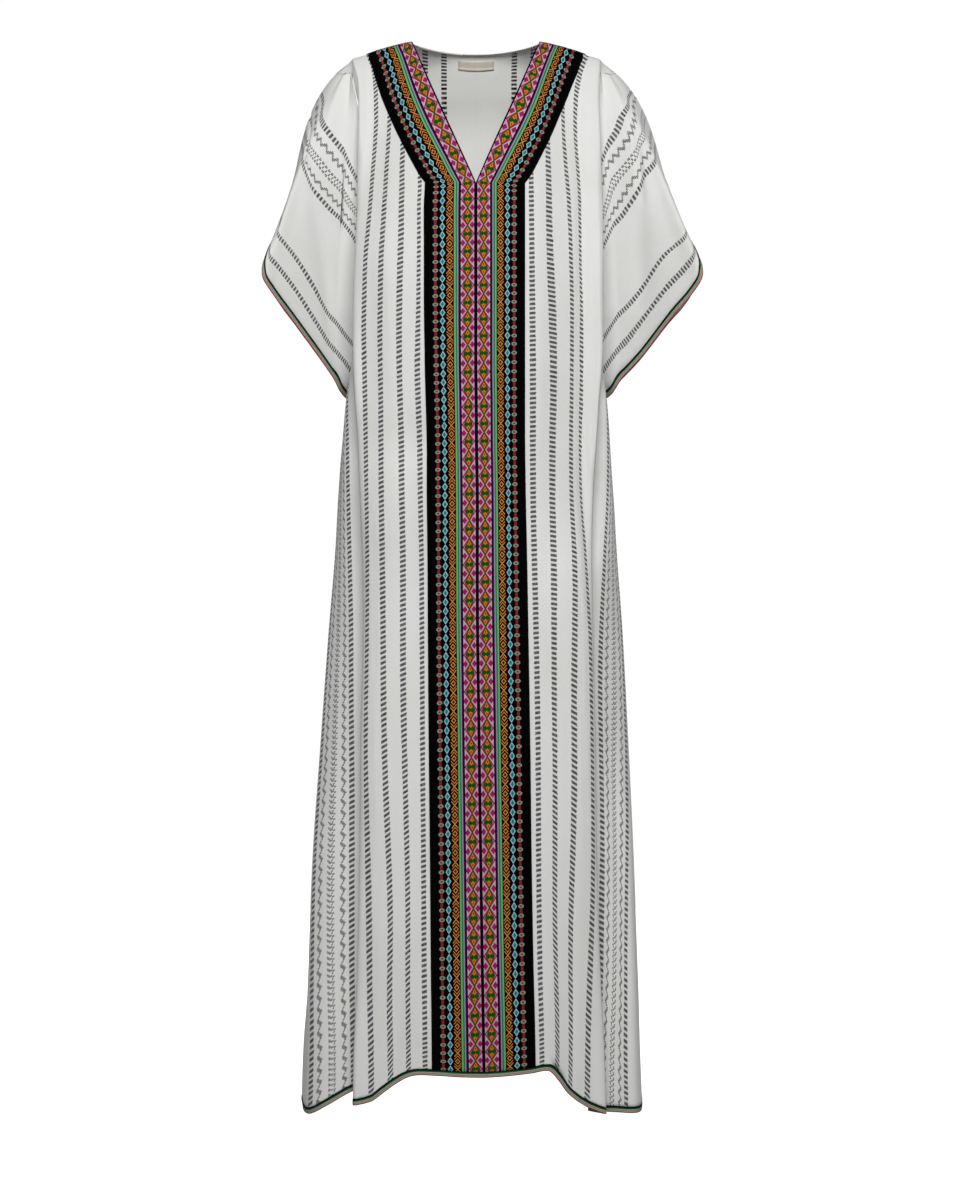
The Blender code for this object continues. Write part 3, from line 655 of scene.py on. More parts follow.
@dataclass(frozen=True)
class SleeveDrape:
    """Lays a sleeve in its worn place, in rows from the shoulder to the cuff."""

    side: Side
    edge_steps: int = 6
    ray_steps: int = 8

    def inner_edge(self) -> list[Row]:
        """Flat points of the inner edge: down the armhole fold, then along the underarm seam."""
        edge = [row[:2] for row in ARMHOLE[ARC_ROWS:]]
        for k in range(1, SEAM_ROWS + 1):
            share = k / SEAM_ROWS
            s = mix(CUT.side_seam, CUT.cuff_s, share)
            edge.append((s, mix(ARMHOLE[-1][1], CUT.cuff_bottom_t, share)))
        return edge

    def ray_point(self, ray: Row, share: float, face: Face) -> ClothPoint:
        """A point on a ray from the shoulder point.

        Args:
            ray: The ray's row of the table.
            share: Share of the way from the shoulder's arc to the cuff.
            face: The half that the point belongs to.

        Returns:
            The point.
        """
        angle, left, right, y, z, swell = ray
        turned = math.radians(angle)
        full = (CUT.cuff_s - CUT.apex_s) / math.sin(turned)
        distance = mix(ARC, full, share)
        reach = distance / full
        end = Vector((left if self.side is Side.LEFT else right, y, z))
        first, last = SLEEVE_RAYS[0][0], SLEEVE_RAYS[-1][0]
        turn = math.radians(90.0 * (last - angle) / (last - first))
        out = Vector((math.cos(turn) * SWELL_ACROSS, -math.sin(turn), SWELL_UP)).normalized()
        place = APEX + (end - APEX) * reach + out * (swell * SWELL_SCALE * reach * (1.0 - reach) ** 2)
        if face is Face.BACK:
            place.y *= -CUT.back_depth
        s = CUT.apex_s + distance * math.sin(turned)
        return ClothPoint(place, s, distance * math.cos(turned))

    def shoulder_point(self, ray: Row, face: Face) -> ClothPoint:
        """The point of the panel's edge round the shoulder point, where a ray starts."""
        row = looked_up(SHOULDER_ARC, ray[0])[1]
        s, t, *_ = through(ARMHOLE, row)
        return ClothPoint(PanelDrape(self.side, face).armhole_place(row), s, t)

    def inner_point(self, k: float, edge: Sequence[Row], face: Face) -> ClothPoint:
        """The point of the inner edge at a row."""
        underarm = UNDERARM_ROW - ARC_ROWS
        s, t = through(edge, k)
        start = Vector((ARMHOLE[-1][2] + SLEEVE_GAP, 0.0, ARMHOLE[-1][4] + UNDERARM_LIFT))
        if k >= underarm:
            return ClothPoint(start.lerp(CUFF_BOTTOM, (k - underarm) / SEAM_ROWS), s, t)
        panel = PanelDrape(self.side, face, 1, 1, 1)
        fold = panel.upper_line(k + ARC_ROWS)[2].place
        place = panel.armhole_place(k + ARC_ROWS)
        place += panel.off_wall(place - fold) * SLEEVE_GAP * min(1.0, k)
        place.z += UNDERARM_LIFT * clamp((k - underarm + 3) / 2)
        return ClothPoint(place.lerp(start, clamp(k - underarm + 1)), s, t)

    def half_line(self, k: float, share: float, edge: Sequence[Row], face: Face) -> list[ClothPoint]:
        """Points of a row's half, from the fold or underarm seam to the top line."""
        count = (len(SLEEVE_RAYS) - 1) * self.ray_steps
        rays = [through(SLEEVE_RAYS, j / self.ray_steps) for j in range(count + 1)]
        if k == 0.0:
            line = [self.shoulder_point(ray, face) for ray in rays]
            return [line[0]] * (2 * self.edge_steps) + line
        line = [self.ray_point(ray, share, face) for ray in rays]
        inner = self.inner_point(k, edge, face)
        top = line[0]
        fullness = clamp((k - UNDERARM_ROW + 2 * ARC_ROWS) / KEEL_ROWS)
        keel = (inner.place + top.place) / 2 + Vector((KEEL.x, face.value * KEEL.y, KEEL.z)) * fullness
        middle = ClothPoint(keel, (inner.s + top.s) / 2, (inner.t + top.t) / 2)
        stations = (inner, middle, top, line[self.ray_steps])
        return [on_curve(stations, j / self.edge_steps) for j in range(2 * self.edge_steps)] + line

    def lines(self, spacing: float) -> Lines:
        """Every row round the sleeve, from the front fold over the top to the back fold.

        Args:
            spacing: Greatest flat distance between two rows, but for the last.

        Returns:
            The rows of points.
        """
        edge = self.inner_edge()
        lengths = [0.0]
        for before, after in zip(edge, edge[1:]):
            lengths.append(lengths[-1] + math.dist(before, after))
        lines = []
        last = len(lengths) - 2
        for k, (low, high) in enumerate(zip(lengths, lengths[1:])):
            steps = 1 if k == last else max(1, math.ceil((high - low) / spacing))
            for j in range(steps + (k == last)):
                share = mix(low, high, j / steps) / lengths[-1]
                front = self.half_line(k + j / steps, share, edge, Face.FRONT)
                back = self.half_line(k + j / steps, share, edge, Face.BACK)
                lines.append(front + back[-2::-1])
        return on_side(lines, self.side)


Colour = tuple[float, float, float]
Socket = bpy.types.NodeSocket
Sockets = dict[str, Socket]
Value = Socket | float
MM = 1000.0
CUT_MAP = "cut"
NODE_COLUMNS = 14
NODE_WIDTH = 190.0
NODE_HEIGHT = 230.0


def shade(red: int, green: int, blue: int) -> Colour:
    """A colour of light, from the 0 to 255 numbers that a screen shows."""
    return tuple((part / 255.0) ** 2.2 for part in (red, green, blue))


BLACK = shade(9, 8, 10)
PURPLE = shade(74, 22, 82)
MAGENTA = shade(166, 40, 100)
PALE_PINK = shade(216, 178, 198)
OLIVE = shade(74, 78, 14)
ORANGE = shade(222, 134, 50)
RED = shade(172, 40, 40)
LEAF = shade(22, 86, 26)
LAVENDER = shade(158, 160, 182)
LIGHT_GREEN = shade(112, 188, 116)
TEAL = shade(60, 124, 86)
RUST = shade(232, 148, 74)
DARK_RED = shade(96, 26, 10)
SKY = shade(158, 208, 220)
LAGOON = shade(28, 128, 138)
SAGE = shade(146, 154, 130)
CRIMSON = shade(146, 44, 62)
CREAM = shade(190, 184, 166)
ROSE = shade(196, 84, 96)
FOREST = shade(14, 92, 50)
NIGHT_GREEN = shade(14, 24, 18)


class Board:
    """A node tree, with short ways to add its nodes and wire them."""

    def __init__(self, tree: bpy.types.NodeTree) -> None:
        """Starts on a tree."""
        self.tree = tree
        self.placed = 0

    def node(self, kind: str, **settings: object) -> bpy.types.Node:
        """A new node with its settings.

        Args:
            kind: Its type's name.
            settings: Its properties.

        Returns:
            The node.
        """
        made = self.tree.nodes.new(kind)
        row, column = divmod(self.placed, NODE_COLUMNS)
        made.location = (column * NODE_WIDTH, -row * NODE_HEIGHT)
        self.placed += 1
        for name, value in settings.items():
            setattr(made, name, value)
        return made

    def feed(self, socket: Socket, value: Value | Sequence[float]) -> None:
        """Wires a socket to another, or sets its plain value."""
        if isinstance(value, bpy.types.NodeSocket):
            self.tree.links.new(value, socket)
        else:
            socket.default_value = value

    def calc(self, operation: str, *values: Value) -> Socket:
        """The result of a Math node on one, two or three values."""
        made = self.node("ShaderNodeMath", operation=operation)
        for socket, value in zip(made.inputs, values):
            self.feed(socket, value)
        return made.outputs[0]

    def between(self, value: Value, low: float, high: float) -> Socket:
        """1 where the value lies between two bounds, and 0 elsewhere."""
        above = self.calc("GREATER_THAN", value, low)
        return self.calc("MULTIPLY", above, self.calc("LESS_THAN", value, high))

    def away(self, value: Value, repeat: float) -> Socket:
        """Distance from the nearest whole multiple of a repeat."""
        share = self.calc("FRACT", self.calc("ADD", self.calc("DIVIDE", value, repeat), 0.5))
        return self.calc("MULTIPLY", self.calc("ABSOLUTE", self.calc("SUBTRACT", share, 0.5)), repeat)

    def off(self, value: Value, centre: Value) -> Socket:
        """Distance of a value from a centre, without its sign."""
        return self.calc("ABSOLUTE", self.calc("SUBTRACT", value, centre))

    def blend(self, share: Value, low: Value | Colour, high: Value | Colour) -> Socket:
        """A mix of two colours.

        Args:
            share: Share of the second colour.
            low: The first colour, or its socket.
            high: The second colour, or its socket.

        Returns:
            The mixed colour.
        """
        made = self.node("ShaderNodeMix", data_type="RGBA")
        self.feed(made.inputs[0], share)
        for socket, colour in ((made.inputs[6], low), (made.inputs[7], high)):
            self.feed(socket, colour if isinstance(colour, bpy.types.NodeSocket) else (*colour, 1.0))
        return made.outputs[2]

    def stripes(self, place: Value, width: float, rows: Sequence[tuple[float, Colour]]) -> Socket:
        """Plain colours side by side.

        Args:
            place: The place across.
            width: The place where the last colour ends.
            rows: For each colour, the place where it starts, and the colour.

        Returns:
            The colour at the place.
        """
        made = self.node("ShaderNodeValToRGB")
        made.color_ramp.interpolation = "CONSTANT"
        points = made.color_ramp.elements
        for k, (start, colour) in enumerate(rows):
            point = points[k] if k < 2 else points.new(start / width)
            point.position = start / width
            point.color = (*colour, 1.0)
        self.feed(made.inputs[0], self.calc("DIVIDE", place, width))
        return made.outputs[0]

    def flat_place(self) -> tuple[Socket, Socket]:
        """The flat place of the cloth from the piece's own UV map: across and along."""
        places = self.node("ShaderNodeUVMap", uv_map=CUT_MAP)
        parts = self.node("ShaderNodeSeparateXYZ")
        self.feed(parts.inputs[0], places.outputs[0])
        return parts.outputs[0], parts.outputs[1]

    def effect(self, group: bpy.types.NodeTree, output: str, **values: Value) -> Socket:
        """Places an effect with its own values.

        Args:
            group: The effect's node group.
            output: The name of the result.
            values: Its inputs by name, with underscores for spaces.

        Returns:
            The result.
        """
        made = self.node("ShaderNodeGroup", node_tree=group)
        for name, value in values.items():
            self.feed(made.inputs[name.replace("_", " ")], value)
        return made.outputs[output]

    def bump(self, height: Socket, distance: float, strength: float, normal: Socket | None = None) -> Socket:
        """A bumped normal from a height."""
        made = self.node("ShaderNodeBump")
        made.inputs["Strength"].default_value = strength
        made.inputs["Distance"].default_value = distance
        self.feed(made.inputs["Height"], height)
        if normal is not None:
            self.feed(made.inputs["Normal"], normal)
        return made.outputs[0]


PLACE = ("Across", "Along")
FLOAT_THREAD = 0.0011
FLOAT_RAGGED = 0.0010
BETWEEN_RUNGS = 0.14
LADDER_SEED = 37.0
DASH_SHARE = 0.78
OUTWARD_WIDTH = 0.8
INWARD_EXTRA = 0.4
CRINKLE_LENGTH = 2.2


class Effects:
    """The effects that several finishes share, each a node group that is built once."""

    def __init__(self) -> None:
        """Builds every group."""
        self.ladder = self.build_ladder()
        self.zigzag = self.build_zigzag()
        self.lozenge = self.build_lozenge()
        self.weave = self.build_weave()
        self.crinkle = self.build_crinkle()

    @staticmethod
    def start(name: str, inputs: Sequence[str], outputs: Sequence[str]) -> tuple[Board, Sockets, Sockets]:
        """A new group with number sockets.

        Args:
            name: Its name.
            inputs: Names of its inputs.
            outputs: Names of its outputs.

        Returns:
            Its board, its inputs by name and its outputs by name.
        """
        tree = bpy.data.node_groups.new(name, "ShaderNodeTree")
        for labels, way in ((inputs, "INPUT"), (outputs, "OUTPUT")):
            for label in labels:
                tree.interface.new_socket(name=label, in_out=way, socket_type="NodeSocketFloat")
        board = Board(tree)
        given = board.node("NodeGroupInput")
        result = board.node("NodeGroupOutput")
        taken = {label: given.outputs[label] for label in inputs}
        return board, taken, {label: result.inputs[label] for label in outputs}

    def build_ladder(self) -> bpy.types.NodeTree:
        """Woven ladders: short floats across, one above the other, in evenly spaced stripes."""
        names = (*PLACE, "First", "Spacing", "Last", "Half Width", "Pitch", "Rung")
        board, given, result = self.start("woven ladder", names, ("Mask",))
        place = board.calc("SUBTRACT", given["Across"], given["First"])
        number = board.calc("ROUND", board.calc("DIVIDE", place, given["Spacing"]))
        number = board.calc("MAXIMUM", board.calc("MINIMUM", number, given["Last"]), 0.0)
        off = board.off(place, board.calc("MULTIPLY", number, given["Spacing"]))
        thread = board.calc("FLOOR", board.calc("DIVIDE", given["Along"], FLOAT_THREAD))
        chance = board.node("ShaderNodeTexWhiteNoise", noise_dimensions="1D")
        board.feed(chance.inputs["W"], board.calc("ADD", thread, board.calc("MULTIPLY", number, LADDER_SEED)))
        ragged = board.calc("MULTIPLY", board.calc("SUBTRACT", chance.outputs[0], 0.5), FLOAT_RAGGED)
        body = board.calc("LESS_THAN", board.calc("ADD", off, ragged), given["Half Width"])
        rung = board.calc("FRACT", board.calc("DIVIDE", given["Along"], given["Pitch"]))
        rung = board.calc("LESS_THAN", rung, given["Rung"])
        rung = board.calc("MULTIPLY_ADD", rung, 1.0 - BETWEEN_RUNGS, BETWEEN_RUNGS)
        board.feed(result["Mask"], board.calc("MULTIPLY", body, rung))
        return board.tree

    def build_zigzag(self) -> bpy.types.NodeTree:
        """A woven zigzag of little dashes, whose inward strokes are thicker."""
        names = ("Off", "Along", "Reach", "Repeat", "Half Line", "Step")
        board, given, result = self.start("woven zigzag", names, ("Mask",))
        steps = board.calc("DIVIDE", given["Along"], given["Step"])
        level = board.calc("MULTIPLY", board.calc("ADD", board.calc("FLOOR", steps), 0.5), given["Step"])
        turn = board.calc("FRACT", board.calc("DIVIDE", level, given["Repeat"]))
        swing = board.calc("ABSOLUTE", board.calc("MULTIPLY_ADD", turn, 2.0, -1.0))
        swing = board.calc("MULTIPLY", board.calc("MULTIPLY_ADD", swing, 2.0, -1.0), given["Reach"])
        near = board.off(given["Off"], swing)
        inward = board.calc("LESS_THAN", turn, 0.5)
        share = board.calc("MULTIPLY_ADD", inward, INWARD_EXTRA, OUTWARD_WIDTH)
        width = board.calc("MULTIPLY", given["Half Line"], share)
        dash = board.calc("LESS_THAN", board.calc("FRACT", steps), DASH_SHARE)
        board.feed(result["Mask"], board.calc("MULTIPLY", board.calc("LESS_THAN", near, width), dash))
        return board.tree

    def build_lozenge(self) -> bpy.types.NodeTree:
        """A diamond: its field is 0 at the middle and 1 at the edge."""
        board, given, result = self.start("lozenge", (*PLACE, "Half Width", "Half Height"), ("Field", "Mask"))
        shares = []
        for place, half in zip(PLACE, ("Half Width", "Half Height")):
            shares.append(board.calc("DIVIDE", board.calc("ABSOLUTE", given[place]), given[half]))
        total = board.calc("ADD", *shares)
        board.feed(result["Field"], total)
        board.feed(result["Mask"], board.calc("LESS_THAN", total, 1.0))
        return board.tree

    def build_weave(self) -> bpy.types.NodeTree:
        """The over and under of threads, as a height from 0 to 1."""
        board, given, result = self.start("plain weave", (*PLACE, "Warp", "Weft"), ("Height",))
        waves = []
        for place, thread in zip(PLACE, ("Warp", "Weft")):
            turn = board.calc("MULTIPLY", board.calc("DIVIDE", given[place], given[thread]), math.pi)
            waves.append(board.calc("SINE", turn))
        board.feed(result["Height"], board.calc("MULTIPLY_ADD", board.calc("MULTIPLY", *waves), 0.5, 0.5))
        return board.tree

    def build_crinkle(self) -> bpy.types.NodeTree:
        """The soft uneven surface of washed cloth, longer down the cloth than across it."""
        board, given, result = self.start("crinkle", (*PLACE, "Size", "Detail"), ("Height",))
        place = board.node("ShaderNodeCombineXYZ")
        board.feed(place.inputs[0], board.calc("DIVIDE", given["Across"], given["Size"]))
        length = board.calc("MULTIPLY", given["Size"], CRINKLE_LENGTH)
        board.feed(place.inputs[1], board.calc("DIVIDE", given["Along"], length))
        noise = board.node("ShaderNodeTexNoise", noise_dimensions="2D")
        board.feed(noise.inputs["Vector"], place.outputs[0])
        board.feed(noise.inputs["Scale"], 1.0)
        board.feed(noise.inputs["Detail"], given["Detail"])
        board.feed(result["Height"], noise.outputs[0])
        return board.tree


@dataclass(frozen=True)
class Finish:
    """What every finish has: its name, its shader's plain values, and the way its material is made."""

    name: str
    roughness: float = 0.85
    sheen: float = 0.15
    gloss: float = 0.25

    def start(self) -> tuple[Board, bpy.types.Node, bpy.types.Material]:
        """A new material.

        Returns:
            Its board, its shader and the material.
        """
        made = bpy.data.materials.new(self.name)
        made.use_nodes = True
        shader = made.node_tree.nodes["Principled BSDF"]
        shader.location = (2900.0, 0.0)
        made.node_tree.nodes["Material Output"].location = (3200.0, 0.0)
        shader.inputs["Roughness"].default_value = self.roughness
        shader.inputs["Sheen Weight"].default_value = self.sheen
        shader.inputs["Sheen Roughness"].default_value = 0.5
        shader.inputs["Specular IOR Level"].default_value = self.gloss
        return Board(made.node_tree), shader, made

    def draw(self, board: Board, effects: Effects) -> tuple[Socket, Socket]:
        """Draws the surface, which each kind of finish does in its own way.

        Args:
            board: The material's board.
            effects: The shared effects.

        Returns:
            The surface's colour and its bumped normal.
        """
        raise NotImplementedError

    def make(self, effects: Effects) -> bpy.types.Material:
        """Builds the material, with the shared effects at hand."""
        board, shader, made = self.start()
        colour, normal = self.draw(board, effects)
        board.feed(shader.inputs["Base Color"], colour)
        board.feed(shader.inputs["Normal"], normal)
        return made


LADDER_SPACING = 0.026
RUNG_SHARE = 0.56
ZIGZAG_REPEAT = 0.0134
ZIGZAG_STEP = 0.00223

# The outer ladders by groups: place of the first of each group, and how many it has
OUTER_LADDERS = ((0.242, 1), (0.299, 1), (0.387, 2))

# Place across, start along, reach to each side and half the width of the line
ZIGZAGS = (
    (0.2545, 0.0, 0.0026, 0.0017),
    (0.2705, 0.0, 0.0046, 0.0012),
    (0.2705, ZIGZAG_REPEAT / 2, 0.0046, 0.0012),
    (0.2865, 0.0, 0.0026, 0.0017),
)


@dataclass(frozen=True)
class StripedCotton(Finish):
    """White cotton with grey woven ladders and zigzags."""

    ground: Colour = shade(231, 232, 231)
    # Colour the ground turns to where the broad fold noise is high, the noise that also raises the folds:
    # painted shade on the folds
    hollow: Colour = shade(223, 222, 218)
    stripe: Colour = shade(76, 76, 80)
    first_ladder: float = 0.076
    ladders: int = 4
    pitch: float = 0.0067
    half_width: float = 0.0038
    # Distance from the centre line within which the cloth is painted black: painted shadow under the band's
    # slit, none when below 0
    painted_slit_shadow: float = -1.0
    fold_size: float = 0.055
    fold_depth: float = 0.0011
    crinkle_size: float = 0.004
    crinkle_depth: float = 0.0004
    warp: float = 0.00055
    weft: float = 0.0006
    thread_depth: float = 0.00012

    def stripes(self, board: Board, effects: Effects, s: Socket, t: Socket) -> Socket:
        """1 on the woven stripes, and less between their floats.

        Args:
            board: The material's board.
            effects: The shared effects.
            s: Place across the cut.
            t: Place along it.

        Returns:
            The mask.
        """
        width = {"Half_Width": self.half_width, "Pitch": self.pitch, "Rung": RUNG_SHARE}
        masks = []
        for first, count in ((self.first_ladder, self.ladders), *OUTER_LADDERS):
            group = {"First": first, "Spacing": LADDER_SPACING, "Last": count - 1.0}
            masks.append(board.effect(effects.ladder, "Mask", Across=s, Along=t, **group, **width))
        for centre, shift, reach, half_line in ZIGZAGS:
            place = {"Off": board.calc("SUBTRACT", s, centre), "Along": board.calc("ADD", t, shift)}
            line = {"Reach": reach, "Repeat": ZIGZAG_REPEAT, "Half_Line": half_line, "Step": ZIGZAG_STEP}
            masks.append(board.effect(effects.zigzag, "Mask", **place, **line))
        stripes = masks[0]
        for mask in masks[1:]:
            stripes = board.calc("MAXIMUM", stripes, mask)
        return stripes

    def draw(self, board: Board, effects: Effects) -> tuple[Socket, Socket]:
        """Stripes that fade a little with the crinkles, on soft white cloth."""
        s, t = board.flat_place()
        stripes = self.stripes(board, effects, s, t)
        broad = board.effect(effects.crinkle, "Height", Across=s, Along=t, Size=self.fold_size, Detail=2.0)
        fine = board.effect(effects.crinkle, "Height", Across=s, Along=t, Size=self.crinkle_size, Detail=3.0)
        weave = board.effect(effects.weave, "Height", Across=s, Along=t, Warp=self.warp, Weft=self.weft)
        # Painted shade: the ground darkens to the hollow colour with the broad fold noise
        ground = board.blend(broad, self.ground, self.hollow)
        # Painted shadow: black on the cloth next to the centre line, under the slit between the band's halves
        ground = board.blend(board.calc("LESS_THAN", s, self.painted_slit_shadow), ground, BLACK)
        worn = board.calc("MULTIPLY", stripes, board.calc("MULTIPLY_ADD", fine, 0.35, 0.78))
        colour = board.blend(worn, ground, self.stripe)
        soft = board.bump(broad, self.fold_depth, 0.6)
        rough = board.bump(fine, self.crinkle_depth, 0.5, soft)
        threads = board.calc("MULTIPLY_ADD", stripes, 0.8, weave)
        return colour, board.bump(threads, self.thread_depth, 0.6, rough)


@dataclass(frozen=True)
class BandRow:
    """A row of the band: its middle and half its width, in millimetres from the inner edge."""

    middle: float
    half: float

    @property
    def ends(self) -> tuple[float, float]:
        """Where it starts and where it ends."""
        return self.middle - self.half, self.middle + self.half


CROSSES = BandRow(10.4, 8.5)
EYES = BandRow(32.8, 4.1)
DIAMONDS = BandRow(42.0, 3.8)
BEADS = BandRow(51.0, 4.4)
BAND_END = 70.0
EYE_END = 17.0
DIAMOND_END = 2.1
BEAD_END = 2.0

# Plain stripes of the band: where each starts in millimetres, and its colour
BAND_STRIPES = (
    (0.0, shade(30, 10, 34)),
    (1.9, PALE_PINK),
    (18.7, shade(26, 9, 28)),
    (20.4, PURPLE),
    (22.0, LAVENDER),
    (23.5, TEAL),
    (25.3, LIGHT_GREEN),
    (27.4, BLACK),
)

# From the middle of an eye outwards, in the same way
EYE_DARK = shade(26, 9, 5)
EYE_RINGS = (
    (0.0, DARK_RED),
    (2.5, RUST),
    (4.1, EYE_DARK),
    (7.3, RUST),
    (8.6, EYE_DARK),
    (11.0, RUST),
    (12.8, EYE_DARK),
)

# From the middle of a diamond or bead outwards, as shares of its size
DIAMOND_RINGS = ((0.0, LAGOON), (0.50, shade(24, 82, 104)), (0.60, SKY), (1.0, BLACK))
BEAD_RINGS = ((0.0, shade(112, 56, 50)), (0.44, SAGE), (1.0, BLACK))


@dataclass(frozen=True)
class WovenBand(Finish):
    """The jacquard band: rows of small diamonds, crosses and beads in many colours on black."""

    repeat: float = 24.0
    pick: float = 0.75
    side_place: float = 6.0
    side_size: tuple[float, float] = (3.7, 4.9)
    line_slope: float = 0.66
    line_half: float = 1.05
    cell_slope: float = 0.44
    cell_rim: float = 0.95
    heart_place: float = 6.6
    heart_size: tuple[float, float] = (0.9, 2.2)
    leaf_place: float = 2.0
    leaf_size: tuple[float, float] = (3.2, 3.7)
    eye_slope: float = 1.22
    diamond_half: float = 3.6
    bead_size: tuple[float, float] = (3.6, 2.6)
    bar_half: float = 1.7
    bar_gap: float = 3.0
    # Share of black painted into the weave's hollows: painted shade
    rib_shade: float = 0.35

    def crosses(self, board: Board, effects: Effects, across: Socket, rise: Socket, ground: Socket) -> Socket:
        """The widest row: green pairs of leaves in cells between crossing lines.

        Args:
            board: The material's board.
            effects: The shared effects.
            across: Place across the band in millimetres.
            rise: Distance along from the nearest crossing, in millimetres.
            ground: The colours below.

        Returns:
            The colours of the row.
        """

        def diamond(x: Socket, y: Socket, size: tuple[float, float]) -> Socket:
            """1 inside a diamond round the place where x and y are 0, given half its width and height."""
            halves = dict(zip(("Half_Width", "Half_Height"), size))
            return board.effect(effects.lozenge, "Mask", Across=x, Along=y, **halves)

        off = board.off(across, CROSSES.middle)
        fall = board.calc("SUBTRACT", self.repeat / 2, rise)
        side = board.calc("SUBTRACT", off, self.side_place)
        colour = board.blend(diamond(side, rise, self.side_size), ground, MAGENTA)
        frame = board.off(off, board.calc("MULTIPLY", rise, self.line_slope))
        colour = board.blend(board.calc("LESS_THAN", frame, self.line_half), colour, MAGENTA)
        inside = board.calc("SUBTRACT", board.calc("MULTIPLY", rise, self.cell_slope), off)
        fill = board.calc("GREATER_THAN", inside, board.calc("MULTIPLY_ADD", rise, 0.3, -1.8))
        fill = board.calc("MULTIPLY", fill, board.calc("GREATER_THAN", inside, 0.0))
        colour = board.blend(fill, colour, ORANGE)
        heart = board.calc("SUBTRACT", rise, self.heart_place)
        colour = board.blend(diamond(off, heart, self.heart_size), colour, RED)
        rim = board.calc("LESS_THAN", board.calc("ABSOLUTE", inside), self.cell_rim)
        colour = board.blend(rim, colour, OLIVE)
        leaf = board.calc("SUBTRACT", off, self.leaf_place)
        return board.blend(diamond(leaf, fall, self.leaf_size), colour, LEAF)

    def eyes(self, board: Board, across: Socket, rise: Socket) -> Socket:
        """The row of orange eyes, chevrons and crosses."""
        sideways = board.calc("MULTIPLY", board.off(across, EYES.middle), self.eye_slope)
        return board.stripes(board.calc("ADD", rise, sideways), EYE_END, EYE_RINGS)

    def diamonds(self, board: Board, effects: Effects, across: Socket, half_rise: Socket) -> Socket:
        """The chain of blue diamonds."""
        off = board.calc("SUBTRACT", across, DIAMONDS.middle)
        size = {"Half_Width": self.diamond_half, "Half_Height": self.repeat / 4}
        reach = board.effect(effects.lozenge, "Field", Across=off, Along=half_rise, **size)
        return board.stripes(reach, DIAMOND_END, DIAMOND_RINGS)

    def beads(self, board: Board, across: Socket, half_rise: Socket) -> Socket:
        """The chain of beads on red bars."""
        off = board.off(across, BEADS.middle)
        squares = []
        for place, half in zip((off, half_rise), self.bead_size):
            squares.append(board.calc("POWER", board.calc("DIVIDE", place, half), 2.0))
        reach = board.calc("SQRT", board.calc("ADD", *squares))
        colour = board.stripes(reach, BEAD_END, BEAD_RINGS)
        bar = board.calc("LESS_THAN", off, self.bar_half)
        bar = board.calc("MULTIPLY", bar, board.calc("GREATER_THAN", half_rise, self.bar_gap))
        return board.blend(bar, colour, CRIMSON)

    def draw(self, board: Board, effects: Effects) -> tuple[Socket, Socket]:
        """The four rows laid on the plain stripes, all in steps of one pick of the weft."""
        u, v = board.flat_place()
        across = board.calc("MULTIPLY", u, MM)
        picks = board.calc("DIVIDE", board.calc("MULTIPLY", v, MM), self.pick)
        along = board.calc("MULTIPLY", board.calc("FLOOR", picks), self.pick)
        rise = board.away(along, self.repeat)
        half_rise = board.away(along, self.repeat / 2)
        colour = board.stripes(across, BAND_END, BAND_STRIPES)
        rows = (
            (CROSSES, self.crosses(board, effects, across, rise, colour)),
            (EYES, self.eyes(board, across, rise)),
            (DIAMONDS, self.diamonds(board, effects, across, half_rise)),
            (BEADS, self.beads(board, across, half_rise)),
        )
        for row, drawn in rows:
            colour = board.blend(board.between(across, *row.ends), colour, drawn)
        rib = board.effect(effects.weave, "Height", Across=u, Along=v, Warp=0.0008, Weft=self.pick / MM)
        # Painted shade: the colour darkens towards black where the rib's height is low
        hollow = board.calc("MULTIPLY", board.calc("SUBTRACT", 1.0, rib), self.rib_shade)
        painted_rib_shade_colour = board.blend(hollow, colour, BLACK)
        raised = board.calc("MULTIPLY", board.between(across, CROSSES.ends[0], BEADS.ends[1]), 0.5)
        return painted_rib_shade_colour, board.bump(board.calc("ADD", rib, raised), 0.00025, 0.7)


# Across the braid, as shares of its width
BRAID_STRIPES = (
    (0.0, NIGHT_GREEN),
    (0.26, FOREST),
    (0.44, CREAM),
    (0.60, shade(120, 128, 112)),
    (0.68, CREAM),
    (0.84, ROSE),
)


@dataclass(frozen=True)
class EdgeBraid(Finish):
    """The narrow woven edging: a dark line with a green thread, a cream one and a red edge."""

    strand: float = 0.0022
    slant: float = 3.0

    def draw(self, board: Board, effects: Effects) -> tuple[Socket, Socket]:
        """Slanting strands across the coloured lines."""
        share, along = board.flat_place()
        colour = board.stripes(share, 1.0, BRAID_STRIPES)
        strands = board.calc("DIVIDE", along, self.strand)
        twist = board.calc("ADD", strands, board.calc("MULTIPLY", share, self.slant))
        wave = board.calc("SINE", board.calc("MULTIPLY", twist, math.tau))
        wave = board.calc("MULTIPLY_ADD", wave, 0.5, 0.5)
        # Painted shade: the colour darkens towards night green where the wave is high, which is where the
        # strands' height is lowest
        colour = board.blend(board.calc("MULTIPLY", wave, 0.4), colour, NIGHT_GREEN)
        weave = board.effect(effects.weave, "Height", Across=share, Along=along, Warp=0.16, Weft=0.0008)
        height = board.calc("ADD", board.calc("SUBTRACT", 1.0, wave), weave)
        return colour, board.bump(height, 0.0003, 0.8)


